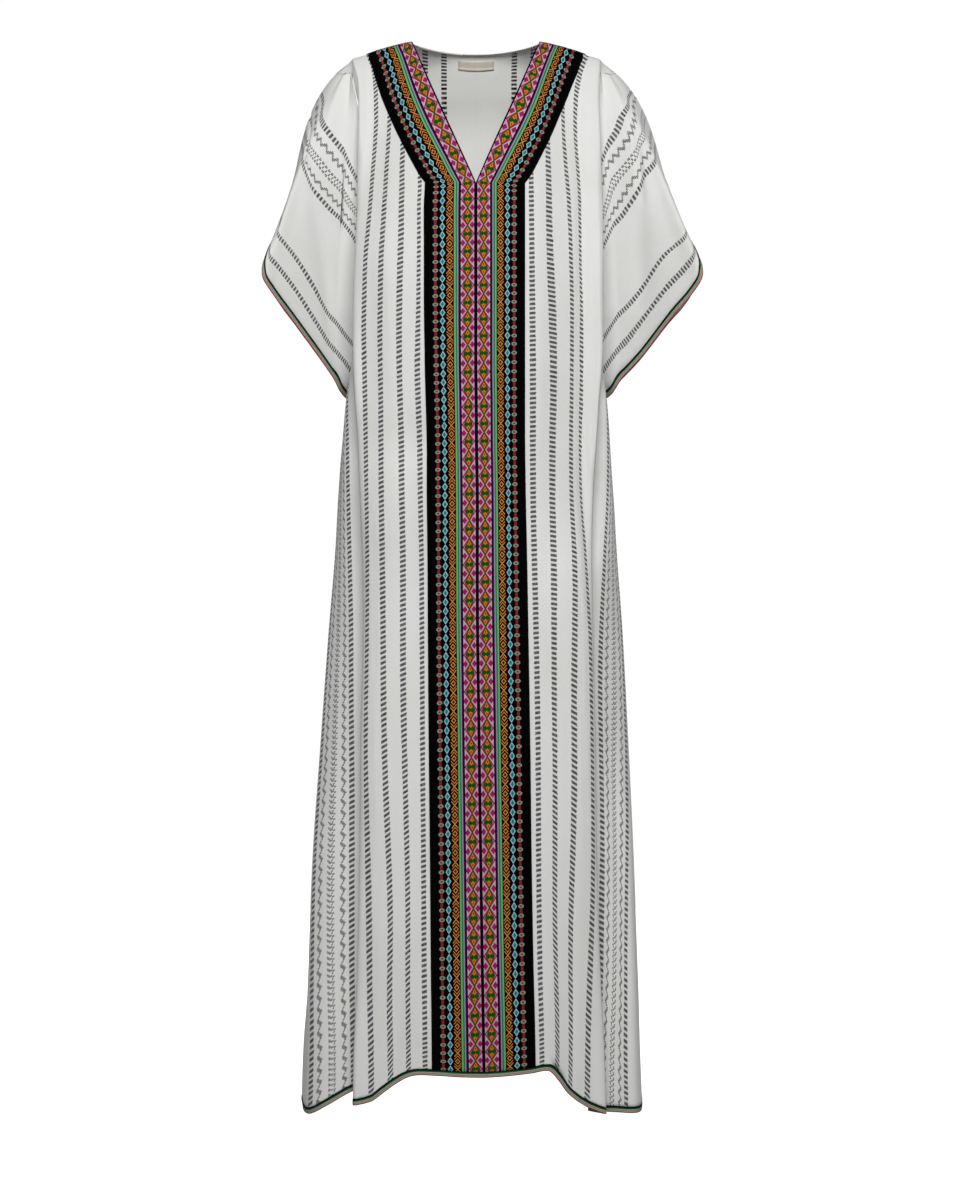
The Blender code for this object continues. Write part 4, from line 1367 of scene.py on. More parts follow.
@dataclass(frozen=True)
class PlainTape(Finish):
    """A plain woven tape, with dark dashes along one edge where it has them."""

    ground: Colour = shade(226, 222, 214)
    dashes: bool = False
    dashes_start: float = -0.018
    dash_pitch: float = 0.0031
    dash_share: float = 0.62
    dash_width: float = 0.0012
    thread: float = 0.0005

    def draw(self, board: Board, effects: Effects) -> tuple[Socket, Socket]:
        """Plain weave, softly uneven."""
        u, v = board.flat_place()
        tape_crinkle = board.effect(effects.crinkle, "Height", Across=u, Along=v, Size=0.006, Detail=3.0)
        weave = board.effect(effects.weave, "Height", Across=u, Along=v, Warp=self.thread, Weft=self.thread)
        # The ground darkens where the crinkle noise is high; the same noise is the soft bump's height
        dark = tuple(part * 0.86 for part in self.ground)
        colour = board.blend(tape_crinkle, self.ground, dark)
        if self.dashes:
            turn = board.calc("FRACT", board.calc("DIVIDE", u, self.dash_pitch))
            dash = board.calc("LESS_THAN", turn, self.dash_share)
            edge = board.calc("LESS_THAN", v, self.dash_width)
            edge = board.calc("MULTIPLY", edge, board.between(u, self.dashes_start, 1.0))
            colour = board.blend(board.calc("MULTIPLY", dash, edge), colour, BLACK)
        soft = board.bump(tape_crinkle, 0.0006, 0.5)
        return colour, board.bump(weave, 0.00015, 0.7, soft)


@dataclass(frozen=True)
class Thread(Finish):
    """Sewing thread, with its twist along each stitch."""

    ground: Colour = shade(214, 211, 206)

    def draw(self, board: Board, effects: Effects) -> tuple[Socket, Socket]:
        """Fine noise for the twist, which needs none of the shared effects."""
        place = board.node("ShaderNodeTexCoord")
        noise = board.node("ShaderNodeTexNoise")
        board.feed(noise.inputs["Vector"], place.outputs["Object"])
        board.feed(noise.inputs["Scale"], 900.0)
        dark = tuple(part * 0.7 for part in self.ground)
        colour = board.blend(noise.outputs[0], self.ground, dark)
        return colour, board.bump(noise.outputs[0], 0.0002, 0.6)


@dataclass(frozen=True)
class PaleFloor(Finish):
    """The plain pale floor, lit white behind the garment like a studio's."""

    ground: Colour = (0.52, 0.52, 0.52)
    glow: float = 1.05

    def make(self, effects: Effects) -> bpy.types.Material:
        """Builds the material, which needs none of the shared effects."""
        board, shader, made = self.start()
        shader.inputs["Base Color"].default_value = (*self.ground, 1.0)
        shader.inputs["Emission Color"].default_value = (1.0, 1.0, 1.0, 1.0)
        rays = board.node("ShaderNodeLightPath")
        seen = board.calc("MULTIPLY", rays.outputs["Is Camera Ray"], self.glow)
        board.feed(shader.inputs["Emission Strength"], seen)
        return made


EDGE_OVERLAP = 0.0006
LEAST_SLANT = 0.62
BRAID_STEPS = 4
BRAID_BULGE = 0.0004
BAND_LIFT = 0.00095
BAND_GAP = 0.0003
NECK_POINT_T = ARMHOLE[NECK_POINT_ROW][1]
NECK_SLANT = math.atan(CUT.neck_half / NECK_POINT_T)
MITRE_RUN = 0.030


# How far down the pattern each step down the cut is, as the weft lies on the worn cloth
WEFT_STEP = 0.1
WEFT_STOPS = (
    *(0.0, 0.085, 0.180, 0.284, 0.391, 0.502, 0.610, 0.717),
    *(0.822, 0.925, 1.025, 1.120, 1.211, 1.298, 1.383, 1.469),
)
WEFT: tuple[Row, ...] = tuple((k * WEFT_STEP, stop) for k, stop in enumerate(WEFT_STOPS))

# Flat places of the stripes that slide. Front: the band's edge, the first to fourth ladders, a still place,
# the fifth ladder, the middle zigzags and the sixth ladder. Sleeve: the shoulder, the fifth to eighth ladders
FRONT_PLACES = (0.066, 0.076, 0.102, 0.128, 0.154, 0.190, 0.242, 0.2705, 0.299)
BACK_PLACES = (0.048, 0.152, 0.190)
SLEEVE_PLACES = (0.172, 0.242, 0.299, 0.387, 0.413, 0.436)


@dataclass(frozen=True)
class Hang:
    """How the woven pattern lies on one half of the worn cloth: slid a little across, and sunk outwards."""

    places: tuple[float, ...]
    slides: tuple[Row, ...]
    drop_places: Row
    high_drops: Row
    low_drops: Row
    low_start: float = 0.78
    low_run: float = 0.34
    crowding: float = 1.0

    def slide(self, s: float, t: float) -> float:
        """How far outwards the stripe at a place has slid, in metres."""
        return straight(self.places, looked_up(self.slides, t)[1:], s) / MM

    def drop(self, s: float, t: float) -> float:
        """How far the weft has sunk at a place, in metres."""
        high, low = (straight(self.drop_places, drops, s) for drops in (self.high_drops, self.low_drops))
        return mix(high, low, smooth((t - self.low_start) / self.low_run)) / MM

    def place(self, point: ClothPoint) -> tuple[float, float]:
        """The pattern's place of a point of the worn cloth."""
        along = looked_up(WEFT, point.t)[1] * self.crowding
        return point.s - self.slide(point.s, point.t), along - self.drop(point.s, point.t)


# Down the cut, then how many millimetres the pattern has moved outwards at each of the places there
LEFT_SLIDES: tuple[Row, ...] = (
    (0.22, 0.0, -3.6, -1.3, -2.0, -5.0, 0.0, 0.0, 0.0, 0.0),
    (0.30, 0.0, -5.5, -4.5, -3.8, -5.0, 0.0, 0.0, 0.0, 0.0),
    (0.42, 0.0, -3.3, -2.0, 0.0, -0.5, 0.0, -2.0, 0.0, 0.0),
    (0.50, 0.0, 0.6, -1.0, 1.5, -1.0, 0.0, -1.3, 0.0, 0.0),
    (0.70, 0.0, -2.0, -3.0, -0.7, -3.0, 0.0, -1.3, 0.0, 0.0),
    (0.90, 0.0, -2.5, -2.8, -2.6, -0.8, 0.0, 1.0, 1.0, 1.0),
    (1.03, 0.0, -2.0, -5.2, -4.8, -0.8, 0.0, 0.5, 1.0, 1.0),
    (1.22, 0.0, -1.5, -7.8, -9.3, -2.6, 0.0, 1.5, 1.0, 1.0),
    (1.37, 0.0, -1.5, -5.3, -4.6, -2.8, 0.0, 2.5, 0.0, 1.0),
)
RIGHT_SLIDES: tuple[Row, ...] = (
    (0.22, 0.0, -1.5, 0.0, 6.5, -0.5, 0.0, 0.0, 0.0, 0.0),
    (0.32, 0.0, -0.4, -0.5, 11.5, -1.0, 0.0, 0.0, 0.0, 0.0),
    (0.48, 0.0, 0.8, 4.5, 13.5, -0.5, 0.0, 3.0, 0.0, 0.0),
    (0.60, 0.0, 1.0, 3.5, 10.0, -1.8, 0.0, 4.0, 3.0, 0.0),
    (0.72, 0.0, 0.0, 0.2, 4.0, -1.5, 0.0, 5.5, 6.0, 2.0),
    (0.90, 0.0, 1.0, -3.8, -2.3, 0.5, 0.0, 0.0, 3.0, 0.0),
    (1.03, 0.0, 0.6, -4.5, -3.6, 1.5, 0.0, 0.0, -5.0, -5.0),
    (1.22, 0.0, -0.8, -6.2, -9.0, 1.0, 0.0, -5.0, -15.0, -19.0),
    (1.37, 0.0, -1.2, -3.6, -8.0, -3.5, 0.0, -8.0, -18.0, -23.0),
)
LEFT_SLEEVE_SLIDES: tuple[Row, ...] = (
    (0.00, 0.0, -14.0, 8.0, 0.0, 4.0, 0.0),
    (0.05, 0.0, 2.0, 10.0, 0.0, 4.0, 0.0),
    (0.10, 0.0, 16.0, 11.0, 0.0, 4.0, 0.0),
    (0.15, 0.0, 22.0, 19.0, 0.0, 4.0, 0.0),
    (0.20, 0.0, 20.0, 20.0, -3.0, -3.0, 0.0),
    (0.25, 0.0, 17.0, 8.0, 1.5, -4.0, 0.0),
    (0.30, 0.0, 12.0, 7.0, 8.0, -0.5, 0.0),
    (0.35, 0.0, 8.0, 4.0, 2.0, 1.5, 0.0),
    (0.40, 0.0, 4.0, 2.0, -7.0, -7.0, 0.0),
    (0.45, 0.0, 0.0, 0.0, -7.0, -7.0, 0.0),
)
RIGHT_SLEEVE_SLIDES: tuple[Row, ...] = (
    (0.00, 0.0, -17.0, 6.0, 8.0, 0.0, 0.0),
    (0.05, 0.0, -9.0, 6.0, 8.0, 0.0, 0.0),
    (0.10, 0.0, 6.0, 6.0, 8.0, 0.0, 0.0),
    (0.15, 0.0, 18.0, 10.0, 5.0, 1.0, 0.0),
    (0.20, 0.0, 22.0, 25.0, -6.0, -2.0, 0.0),
    (0.25, 0.0, 20.0, 25.0, -3.0, -4.5, 0.0),
    (0.30, 0.0, 15.0, 20.0, -0.5, -4.5, 0.0),
    (0.35, 0.0, 10.0, 13.0, -4.0, -1.5, 0.0),
    (0.40, 0.0, 5.0, 7.0, -8.0, -6.5, 0.0),
    (0.45, 0.0, 0.0, 0.0, -8.0, -6.5, 0.0),
)

# Places across the cut, and how many millimetres the weft has sunk there: on the chest, then on the skirt
DROP_PLACES = (0.0, 0.066, 0.089, 0.115, 0.141, 0.50)
LEFT_HIGH = (0.0, 19.8, 27.4, 36.8, 46.6, 208.0)
LEFT_LOW = (0.0, 19.8, 26.7, 43.3, 58.9, 208.0)
RIGHT_HIGH = (0.0, -3.3, -5.6, -1.7, 9.2, 170.0)
RIGHT_LOW = (0.0, -3.3, -7.4, 9.7, 24.6, 166.0)
BACK_DROP_PLACES = (0.0, 0.10, 0.17, 0.50)
BACK_DROPS = (0.0, 2.0, 9.0, 150.0)

FRONT_HANG = {
    Side.LEFT: Hang(FRONT_PLACES, LEFT_SLIDES, DROP_PLACES, LEFT_HIGH, LEFT_LOW),
    Side.RIGHT: Hang(FRONT_PLACES, RIGHT_SLIDES, DROP_PLACES, RIGHT_HIGH, RIGHT_LOW),
}
# The back's pattern sits a little to the right of its middle
BACK_SHIFT = 4.3
BACK_HANG = {
    side: Hang(
        BACK_PLACES,
        ((0.0, side.value * BACK_SHIFT, side.value * BACK_SHIFT, 0.0),),
        BACK_DROP_PLACES,
        BACK_DROPS,
        BACK_DROPS,
    )
    for side in Side
}
SLEEVE_HANG = {
    side: Hang(SLEEVE_PLACES, slides, DROP_PLACES, drops, drops, crowding=1.2)
    for side, slides, drops in (
        (Side.LEFT, LEFT_SLEEVE_SLIDES, LEFT_HIGH),
        (Side.RIGHT, RIGHT_SLEEVE_SLIDES, RIGHT_HIGH),
    )
}


@dataclass(frozen=True)
class Crease:
    """A soft ridge or trough along a line on the flat cut, and how much of the pattern it takes in."""

    start: tuple[float, float]
    end: tuple[float, float]
    width: float
    height: float
    pull: float = 0.0
    reach: float = 0.05

    def worn(self, point: ClothPoint, normal: Vector) -> ClothPoint:
        """The point lifted by the crease, with the pattern drawn in towards its line."""
        run = (self.end[0] - self.start[0], self.end[1] - self.start[1])
        length = math.hypot(*run)
        along = ((point.s - self.start[0]) * run[0] + (point.t - self.start[1]) * run[1]) / length**2
        if not 0.0 < along < 1.0:
            return point
        off = ((point.s - self.start[0]) * run[1] - (point.t - self.start[1]) * run[0]) / length
        fade = math.sin(math.pi * along) ** 0.7
        place = point.place + normal * (self.height * fade * math.exp(-((off / self.width) ** 2)))
        shift = self.pull * fade * math.tanh(off / self.width) * max(0.0, 1.0 - abs(off) / self.reach)
        return ClothPoint(place, point.s + shift * run[1] / length, point.t - shift * run[0] / length)


@dataclass
class Cloth:
    """A piece's rows of points, and whether along crossed with down points inwards on them."""

    lines: Lines
    flip: bool

    def normals(self) -> list[list[Vector]]:
        """Outward directions at the points."""
        found = []
        last_row, last_column = len(self.lines) - 1, len(self.lines[0]) - 1
        for r, line in enumerate(self.lines):
            normals = []
            for c in range(len(line)):
                down = self.lines[min(r + 1, last_row)][c].place - self.lines[max(r - 1, 0)][c].place
                along = line[min(c + 1, last_column)].place - line[max(c - 1, 0)].place
                normal = along.cross(down).normalized()
                normals.append(-normal if self.flip else normal)
            found.append(normals)
        return found

    def moved_out(self, distance: float) -> Cloth:
        """A copy, moved along its outward directions."""
        moved = []
        for line, normals in zip(self.lines, self.normals()):
            moved.append([ClothPoint(p.place + n * distance, p.s, p.t) for p, n in zip(line, normals)])
        return Cloth(moved, self.flip)

    def creased(self, creases: Sequence[Crease]) -> Cloth:
        """A copy with creases raised in it."""
        lines, directions = self.lines, self.normals()
        for crease in creases:
            rows = zip(lines, directions)
            lines = [[crease.worn(p, n) for p, n in zip(line, normals)] for line, normals in rows]
        return Cloth(lines, self.flip)

    def parted(self) -> tuple[Cloth, Cloth]:
        """Cuts the piece short at its last row, and makes the braid that carries on from it.

        Returns:
            The cut piece, and the braid, whose flat places are share across and length along.
        """
        edge, above = self.lines[-1], self.lines[-2]
        normals = self.normals()[-1]
        last = len(edge) - 1
        cut = []
        braid: Lines = [[] for _ in range(BRAID_STEPS + 1)]
        along = 0.0
        for k, point in enumerate(edge):
            inward = (above[k].place - point.place).normalized()
            beside = [j for j in (k - 1, k + 1) if 0 <= j <= last]
            slants = [(edge[j].place - point.place).normalized().cross(inward).length for j in beside]
            slant = max(LEAST_SLANT, sum(slants) / len(slants))
            if k:
                along += (point.place - edge[k - 1].place).length
            cut_back = (CUT.edge_trim - EDGE_OVERLAP) / slant
            cut.append(ClothPoint(point.place + inward * cut_back, point.s, point.t - cut_back))
            top = point.place + inward * (CUT.edge_trim / slant)
            for j, row in enumerate(braid):
                share = j / BRAID_STEPS
                bulge = normals[k] * (BRAID_BULGE * math.sin(math.pi * share))
                row.append(ClothPoint(top.lerp(point.place, share) + bulge, share, along))
        return Cloth([*self.lines[:-1], cut], self.flip), Cloth(braid, self.flip)


Chart = Callable[[ClothPoint], tuple[float, float]]


def as_charted(point: ClothPoint) -> tuple[float, float]:
    """The pattern's place of a point that already holds it."""
    return point.s, point.t


def new_piece(name: str, work: bmesh.types.BMesh, finishes: Sequence[bpy.types.Material]) -> bpy.types.Object:
    """Ends the work on a mesh, and puts it in the scene as a piece with its finishes."""
    mesh = bpy.data.meshes.new(name)
    work.to_mesh(mesh)
    work.free()
    for finish in finishes:
        mesh.materials.append(finish)
    piece = bpy.data.objects.new(name, mesh)
    bpy.context.scene.collection.objects.link(piece)
    return piece


class ClothMesh:
    """A mesh of cloth in the making: flat grids laid in their worn places."""

    def __init__(self) -> None:
        """Starts an empty mesh with layers for the flat places."""
        self.work = bmesh.new()
        self.across = self.work.verts.layers.float.new("cut across")
        self.along = self.work.verts.layers.float.new("cut along")

    def lay(self, cloth: Cloth, chart: Chart = as_charted) -> None:
        """Lays a flat grid in the places of a piece's rows.

        Args:
            cloth: The piece.
            chart: The pattern's place for a point.
        """
        rows, columns = len(cloth.lines) - 1, len(cloth.lines[0]) - 1
        made = bmesh.ops.create_grid(self.work, x_segments=columns, y_segments=rows, size=1.0)
        for vertex in made["verts"]:
            r = round((vertex.co.y + 1.0) / 2.0 * rows)
            c = round((vertex.co.x + 1.0) / 2.0 * columns)
            point = cloth.lines[r][c]
            vertex.co = point.place
            vertex[self.across], vertex[self.along] = chart(point)
        if cloth.flip:
            faces = {face for vertex in made["verts"] for face in vertex.link_faces}
            bmesh.ops.reverse_faces(self.work, faces=list(faces))

    def finish(self, name: str, wall: float, finishes: Sequence[bpy.types.Material]) -> bpy.types.Object:
        """Joins the grids, charts them and gives them a wall.

        Args:
            name: The piece's name.
            wall: Thickness of the cloth.
            finishes: The finish of the outside, then of the inside where it differs.

        Returns:
            The piece.
        """
        bmesh.ops.remove_doubles(self.work, verts=self.work.verts, dist=1e-5)
        chart = self.work.loops.layers.uv.new(CUT_MAP)
        for face in self.work.faces:
            face.smooth = True
            for loop in face.loops:
                loop[chart].uv = (loop.vert[self.across], loop.vert[self.along])
        piece = new_piece(name, self.work, finishes)
        solid = piece.modifiers.new("Wall", "SOLIDIFY")
        solid.thickness = wall
        solid.offset = 0.0
        solid.material_offset = len(finishes) - 1
        return piece


def hang(piece: bpy.types.Object, slot: str, *nodes: str) -> bpy.types.Object:
    """Puts a finished piece on the garment, in place of its solids."""
    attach(piece, "root")
    if nodes:
        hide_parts(*nodes)
    LOG.info("%s: %d points", piece.name, len(piece.data.vertices))
    return piece


@dataclass(frozen=True)
class Trim:
    """What a kind of trim is made of: its wall, its finish and the slot of its material."""

    wall: float
    finish: bpy.types.Material
    slot: str

    def sew(self, node: str, *halves: Cloth) -> bpy.types.Object:
        """Makes a trim from one or both of its halves, which already hold the pattern's places.

        Args:
            node: The solid that it stands for, whose name it takes.
            halves: The cloth.

        Returns:
            The piece.
        """
        strip = ClothMesh()
        for half in halves:
            strip.lay(half)
        return hang(strip.finish(node, self.wall, (self.finish,)), self.slot, node)


# The ladders of the back, which has one more on each half
BACK_LADDERS = {"first_ladder": 0.048, "ladders": 5}


@dataclass
class Wardrobe:
    """Every finish of the garment, made once, and its kinds of trim."""

    effects: Effects = field(default_factory=Effects)

    def __post_init__(self) -> None:
        """Makes the finishes."""
        dark = shade(30, 29, 34)
        # The front's cotton is painted black next to its centre line: painted shadow under the band's slit
        self.cotton = self.made(StripedCotton("white striped cotton", painted_slit_shadow=0.003))
        self.sleeve = self.made(StripedCotton("white striped cotton sleeve", half_width=0.0030))
        self.cotton_inside = self.made(StripedCotton("striped cotton inside", stripe=dark))
        self.back = self.made(StripedCotton("white striped cotton back", **BACK_LADDERS))
        # The back's inside has a lighter ground and hollow than its outside: painted light where it lies in
        # shade
        lit = {"ground": shade(246, 246, 243), "hollow": shade(240, 239, 235)}
        inside = StripedCotton("striped cotton back inside, painted light", stripe=dark, **lit, **BACK_LADDERS)
        self.back_inside = self.made(inside)
        band = self.made(WovenBand("woven ribbon band", sheen=0.0, gloss=0.04))
        braid = self.made(EdgeBraid("edge braid", sheen=0.0, gloss=0.1))
        tape = self.made(PlainTape("neck tape", dashes=True))
        label = self.made(PlainTape("label tape", ground=shade(222, 214, 198)))
        self.white_thread = self.made(Thread("white thread"))
        self.black_thread = self.made(Thread("black thread", ground=shade(26, 25, 28)))
        self.floor = self.made(PaleFloor("pale floor", sheen=0.0))
        self.band = Trim(0.001, band, "woven_band")
        self.braid = Trim(0.0012, braid, "edge_trim")
        self.binding = Trim(0.0009, tape, "label_tape")
        self.label = Trim(0.0007, label, "label_tape")

    def made(self, finish: Finish) -> bpy.types.Material:
        """The material of a finish."""
        return finish.make(self.effects)


@dataclass
class BodyPanel:
    """The front or back panel, with the braid on its hem."""

    face: Face
    name: str
    wardrobe: Wardrobe
    creases: dict[Side, Sequence[Crease]]
    spacing: float = 0.011
    last_spacing: float = 0.019
    flat: tuple[float, float] = (0.67, 1.474)
    cloth: dict[Side, Cloth] = field(default_factory=dict)
    braid: dict[Side, Cloth] = field(default_factory=dict)

    def drape(self) -> None:
        """Lays both halves in their worn places and parts the hem's braid from them."""
        for side in Side:
            lines = PanelDrape(side, self.face).lines(self.spacing, self.last_spacing)
            half = Cloth(lines, (side is Side.RIGHT) == (self.face is Face.FRONT))
            self.cloth[side], self.braid[side] = half.creased(self.creases[side]).parted()

    def sew(self) -> tuple[bpy.types.Object, bpy.types.Object]:
        """Makes the panel and its braid.

        Returns:
            The panel and the braid.
        """
        wardrobe = self.wardrobe
        hangs, finishes = FRONT_HANG, (wardrobe.cotton, wardrobe.cotton_inside)
        if self.face is Face.BACK:
            hangs, finishes = BACK_HANG, (wardrobe.back, wardrobe.back_inside)
        panel = ClothMesh()
        for side in Side:
            panel.lay(self.cloth[side], hangs[side].place)
        piece = hang(panel.finish(self.name, CLOTH, finishes), "white_cotton", self.name)
        return piece, wardrobe.braid.sew("hem_trim_" + self.name, *self.braid.values())


@dataclass
class Sleeve:
    """A cut-on sleeve, with the braid round its cuff."""

    side: Side
    wardrobe: Wardrobe
    creases: Sequence[Crease]
    spacing: float = 0.0055
    flat: tuple[float, float] = (0.264, 0.93)

    def sew(self) -> tuple[bpy.types.Object, bpy.types.Object]:
        """Makes the sleeve and its braid.

        Returns:
            The sleeve and the braid.
        """
        whole = Cloth(SleeveDrape(self.side).lines(self.spacing), self.side is Side.RIGHT)
        cut, cuff = whole.creased(self.creases).parted()
        cloth = ClothMesh()
        cloth.lay(cut, SLEEVE_HANG[self.side].place)
        node = "sleeve_" + self.side.word
        finishes = (self.wardrobe.sleeve, self.wardrobe.cotton_inside)
        piece = hang(cloth.finish(node, CLOTH, finishes), "white_cotton", node)
        return piece, self.wardrobe.braid.sew("cuff_trim_" + self.side.word, cuff)


class StitchRun:
    """A row of sewn stitches, each a small rounded thread."""

    def __init__(self, length: float = 0.0018, thickness: float = 0.0004) -> None:
        """Starts an empty row."""
        self.work = bmesh.new()
        self.length = length
        self.thickness = thickness

    def along(self, places: Sequence[Vector], pitch: float) -> None:
        """Sews along a line of places, a stitch at every pitch."""
        left = pitch / 2
        for before, after in zip(places, places[1:]):
            step = (after - before).length
            while left <= step:
                self.stitch(before.lerp(after, left / step), (after - before).normalized())
                left += pitch
            left -= step

    def stitch(self, place: Vector, direction: Vector) -> None:
        """Adds one stitch at a place, in a direction."""
        made = bmesh.ops.create_icosphere(self.work, subdivisions=1, radius=0.5)
        size = Vector((self.length, self.thickness, self.thickness))
        bmesh.ops.scale(self.work, vec=size, verts=made["verts"])
        turn = direction.to_track_quat("X", "Z").to_matrix()
        bmesh.ops.rotate(self.work, cent=(0.0, 0.0, 0.0), matrix=turn, verts=made["verts"])
        bmesh.ops.translate(self.work, vec=place, verts=made["verts"])

    def finish(self, name: str, thread: bpy.types.Material) -> bpy.types.Object:
        """Makes the piece."""
        for face in self.work.faces:
            face.smooth = True
        return new_piece(name, self.work, (thread,))


BAND_PHASE = 0.0081
BAND_SHARE = 0.975
BAND_LEAN = {Side.LEFT: 0.07, Side.RIGHT: -0.02}


@dataclass
class FrontBand:
    """One half of the woven band: down the neckline, mitred at its point, then down the centre."""

    side: Side
    panel: BodyPanel
    wardrobe: Wardrobe
    seam_inset: float = 0.0016
    seam_lift: float = 0.0006
    seam_pitch: float = 0.0032

    def pattern_place(self, point: ClothPoint, inner: float, share: float) -> tuple[float, float]:
        """The pattern's place across and along the strip.

        Args:
            point: The point of the front that it lies on.
            inner: Flat distance of the row's inner edge.
            share: Share of the strip's width.

        Returns:
            Distance across the strip from its inner edge, and along it.
        """
        slant = NECK_SLANT * smooth(0.5 + (NECK_POINT_T - point.t) / MITRE_RUN)
        down = looked_up(WEFT, point.t)[1] * BAND_SHARE
        above = min(0.0, down - looked_up(WEFT, NECK_POINT_T)[1] * BAND_SHARE)
        along = down - above + above / math.cos(NECK_SLANT) + BAND_PHASE
        lean = math.sin(slant) + BAND_LEAN[self.side]
        return CUT.band_width * share, along - lean * (point.s - inner)

    def sew(self) -> list[bpy.types.Object]:
        """Makes the strip and its stitching.

        Returns:
            The pieces, the strip first.
        """
        steps = PanelDrape(self.side, Face.FRONT).band_steps
        front = self.panel.cloth[self.side]
        under = Cloth([line[: steps + 1] for line in front.lines], front.flip)
        cloth = under.moved_out(BAND_LIFT)
        for line in cloth.lines:
            inner = line[0].s
            for k, point in enumerate(line):
                point.s, point.t = self.pattern_place(point, inner, k / steps)
            if inner == 0.0:
                line[0].place.x += self.side.value * BAND_GAP / 2
        strip = self.wardrobe.band.sew("band_" + self.side.word, cloth)
        outer = []
        for line, above in zip(cloth.lines, cloth.moved_out(self.seam_lift).lines):
            inward = (line[-2].place - line[-1].place).normalized()
            outer.append(above[-1].place + inward * self.seam_inset)
        run = StitchRun()
        run.along(outer, self.seam_pitch)
        stitches = run.finish("band_stitches_" + self.side.word, self.wardrobe.black_thread)
        return [strip, hang(stitches, "woven_band")]


NECK_LINES = 24


@dataclass(frozen=True)
class Patch:
    """A patch of rows on the inside of the back panel, measured from the middle of its neckline.

    Attributes:
        half: Half its width.
        top: Distance of its upper edge below the neckline.
        bottom: Distance of its lower edge.
        lift: How far it stands off the cloth.
        columns: Steps across.
        rows: Steps down.
    """

    half: float
    top: float
    bottom: float
    lift: float
    columns: int
    rows: int


@dataclass
class BackNeck:
    """The binding of the back neck, its stitching, and the bare label below it."""

    panel: BodyPanel
    wardrobe: Wardrobe
    binding: Patch = Patch(0.078, 0.0, 0.006, 0.0005, 52, 3)
    binding_seam: Patch = Patch(0.076, 0.0, 0.0048, 0.0012, 60, 2)
    label: Patch = Patch(0.0245, 0.0145, 0.0275, 0.0007, 16, 10)
    label_seam: Patch = Patch(0.0233, 0.0155, 0.0245, 0.0013, 2, 8)
    label_swell: float = 0.0012
    fold_start: float = 0.72
    fold_run: float = 0.2
    end_start: float = 0.9
    end_run: float = 0.1
    end_drop: float = 0.6
    binding_pitch: float = 0.0026
    label_pitch: float = 0.0022

    def place(self, x: float, down: float) -> Vector:
        """A place on the back panel, at a place across and a distance down from its neckline."""
        side = Side.LEFT if x < 0.0 else Side.RIGHT
        path = []
        for line in self.panel.cloth[side].lines[:NECK_LINES]:
            places = [point.place for point in line]
            for near, far in zip(places, places[1:]):
                start, end = abs(near.x), abs(far.x)
                if start <= abs(x) <= end:
                    path.append(near.lerp(far, (abs(x) - start) / max(1e-9, end - start)))
                    break
        left = down
        for before, after in zip(path, path[1:]):
            step = (after - before).length
            if left <= step:
                return before.lerp(after, left / step)
            left -= step
        return path[-1]

    def cloth(self, patch: Patch) -> Cloth:
        """The cloth of a patch, whose flat places are across and down."""
        lines = []
        for r in range(patch.rows + 1):
            down = mix(patch.top, patch.bottom, r / patch.rows)
            xs = [mix(-patch.half, patch.half, c / patch.columns) for c in range(patch.columns + 1)]
            lines.append([ClothPoint(self.place(x, down), x, down) for x in xs])
        return Cloth(lines, True).moved_out(CLOTH / 2 + patch.lift)

    def folded_label(self) -> Cloth:
        """The label, with its lower end folded and so a little swollen."""
        tag = self.cloth(self.label)
        for r, (line, above) in enumerate(zip(tag.lines, tag.moved_out(self.label_swell).lines)):
            down = r / self.label.rows
            raised = smooth((down - self.fold_start) / self.fold_run)
            share = raised * (1.0 - self.end_drop * smooth((down - self.end_start) / self.end_run))
            for point, high in zip(line, above):
                point.place = point.place.lerp(high.place, share)
        return tag

    def sew(self) -> list[bpy.types.Object]:
        """Makes the binding, the label and their stitching.

        Returns:
            The pieces.
        """
        bound = self.wardrobe.binding.sew("neck_binding", self.cloth(self.binding))
        label = self.wardrobe.label.sew("label", self.folded_label())
        run = StitchRun(length=0.0016, thickness=0.00035)
        seam = self.cloth(self.binding_seam).lines[-1]
        run.along([point.place for point in seam], self.binding_pitch)
        ends = self.cloth(self.label_seam).lines
        for column in (0, -1):
            run.along([line[column].place for line in ends], self.label_pitch)
        stitches = hang(run.finish("neck_stitches", self.wardrobe.white_thread), "label_tape")
        return [bound, label, stitches]


@dataclass(frozen=True)
class Lamp:
    """A large soft square light."""

    name: str
    place: tuple[float, float, float]
    size: float
    watts: float

    def set_up(self, aim: Vector) -> None:
        """Makes the light in its place, facing its aim."""
        lamp = bpy.data.lights.new(self.name, "AREA")
        lamp.shape = "SQUARE"
        lamp.size = self.size
        lamp.energy = self.watts
        light = bpy.data.objects.new(self.name, lamp)
        light.location = self.place
        light.rotation_euler = (aim - light.location).to_track_quat("-Z", "Y").to_euler()
        bpy.context.scene.collection.objects.link(light)


LAMPS = (
    Lamp("front light", (0.08, -3.0, 1.25), 1.6, 93.0),
    Lamp("back light", (0.8, 4.2, 0.9), 2.4, 100.0),
)


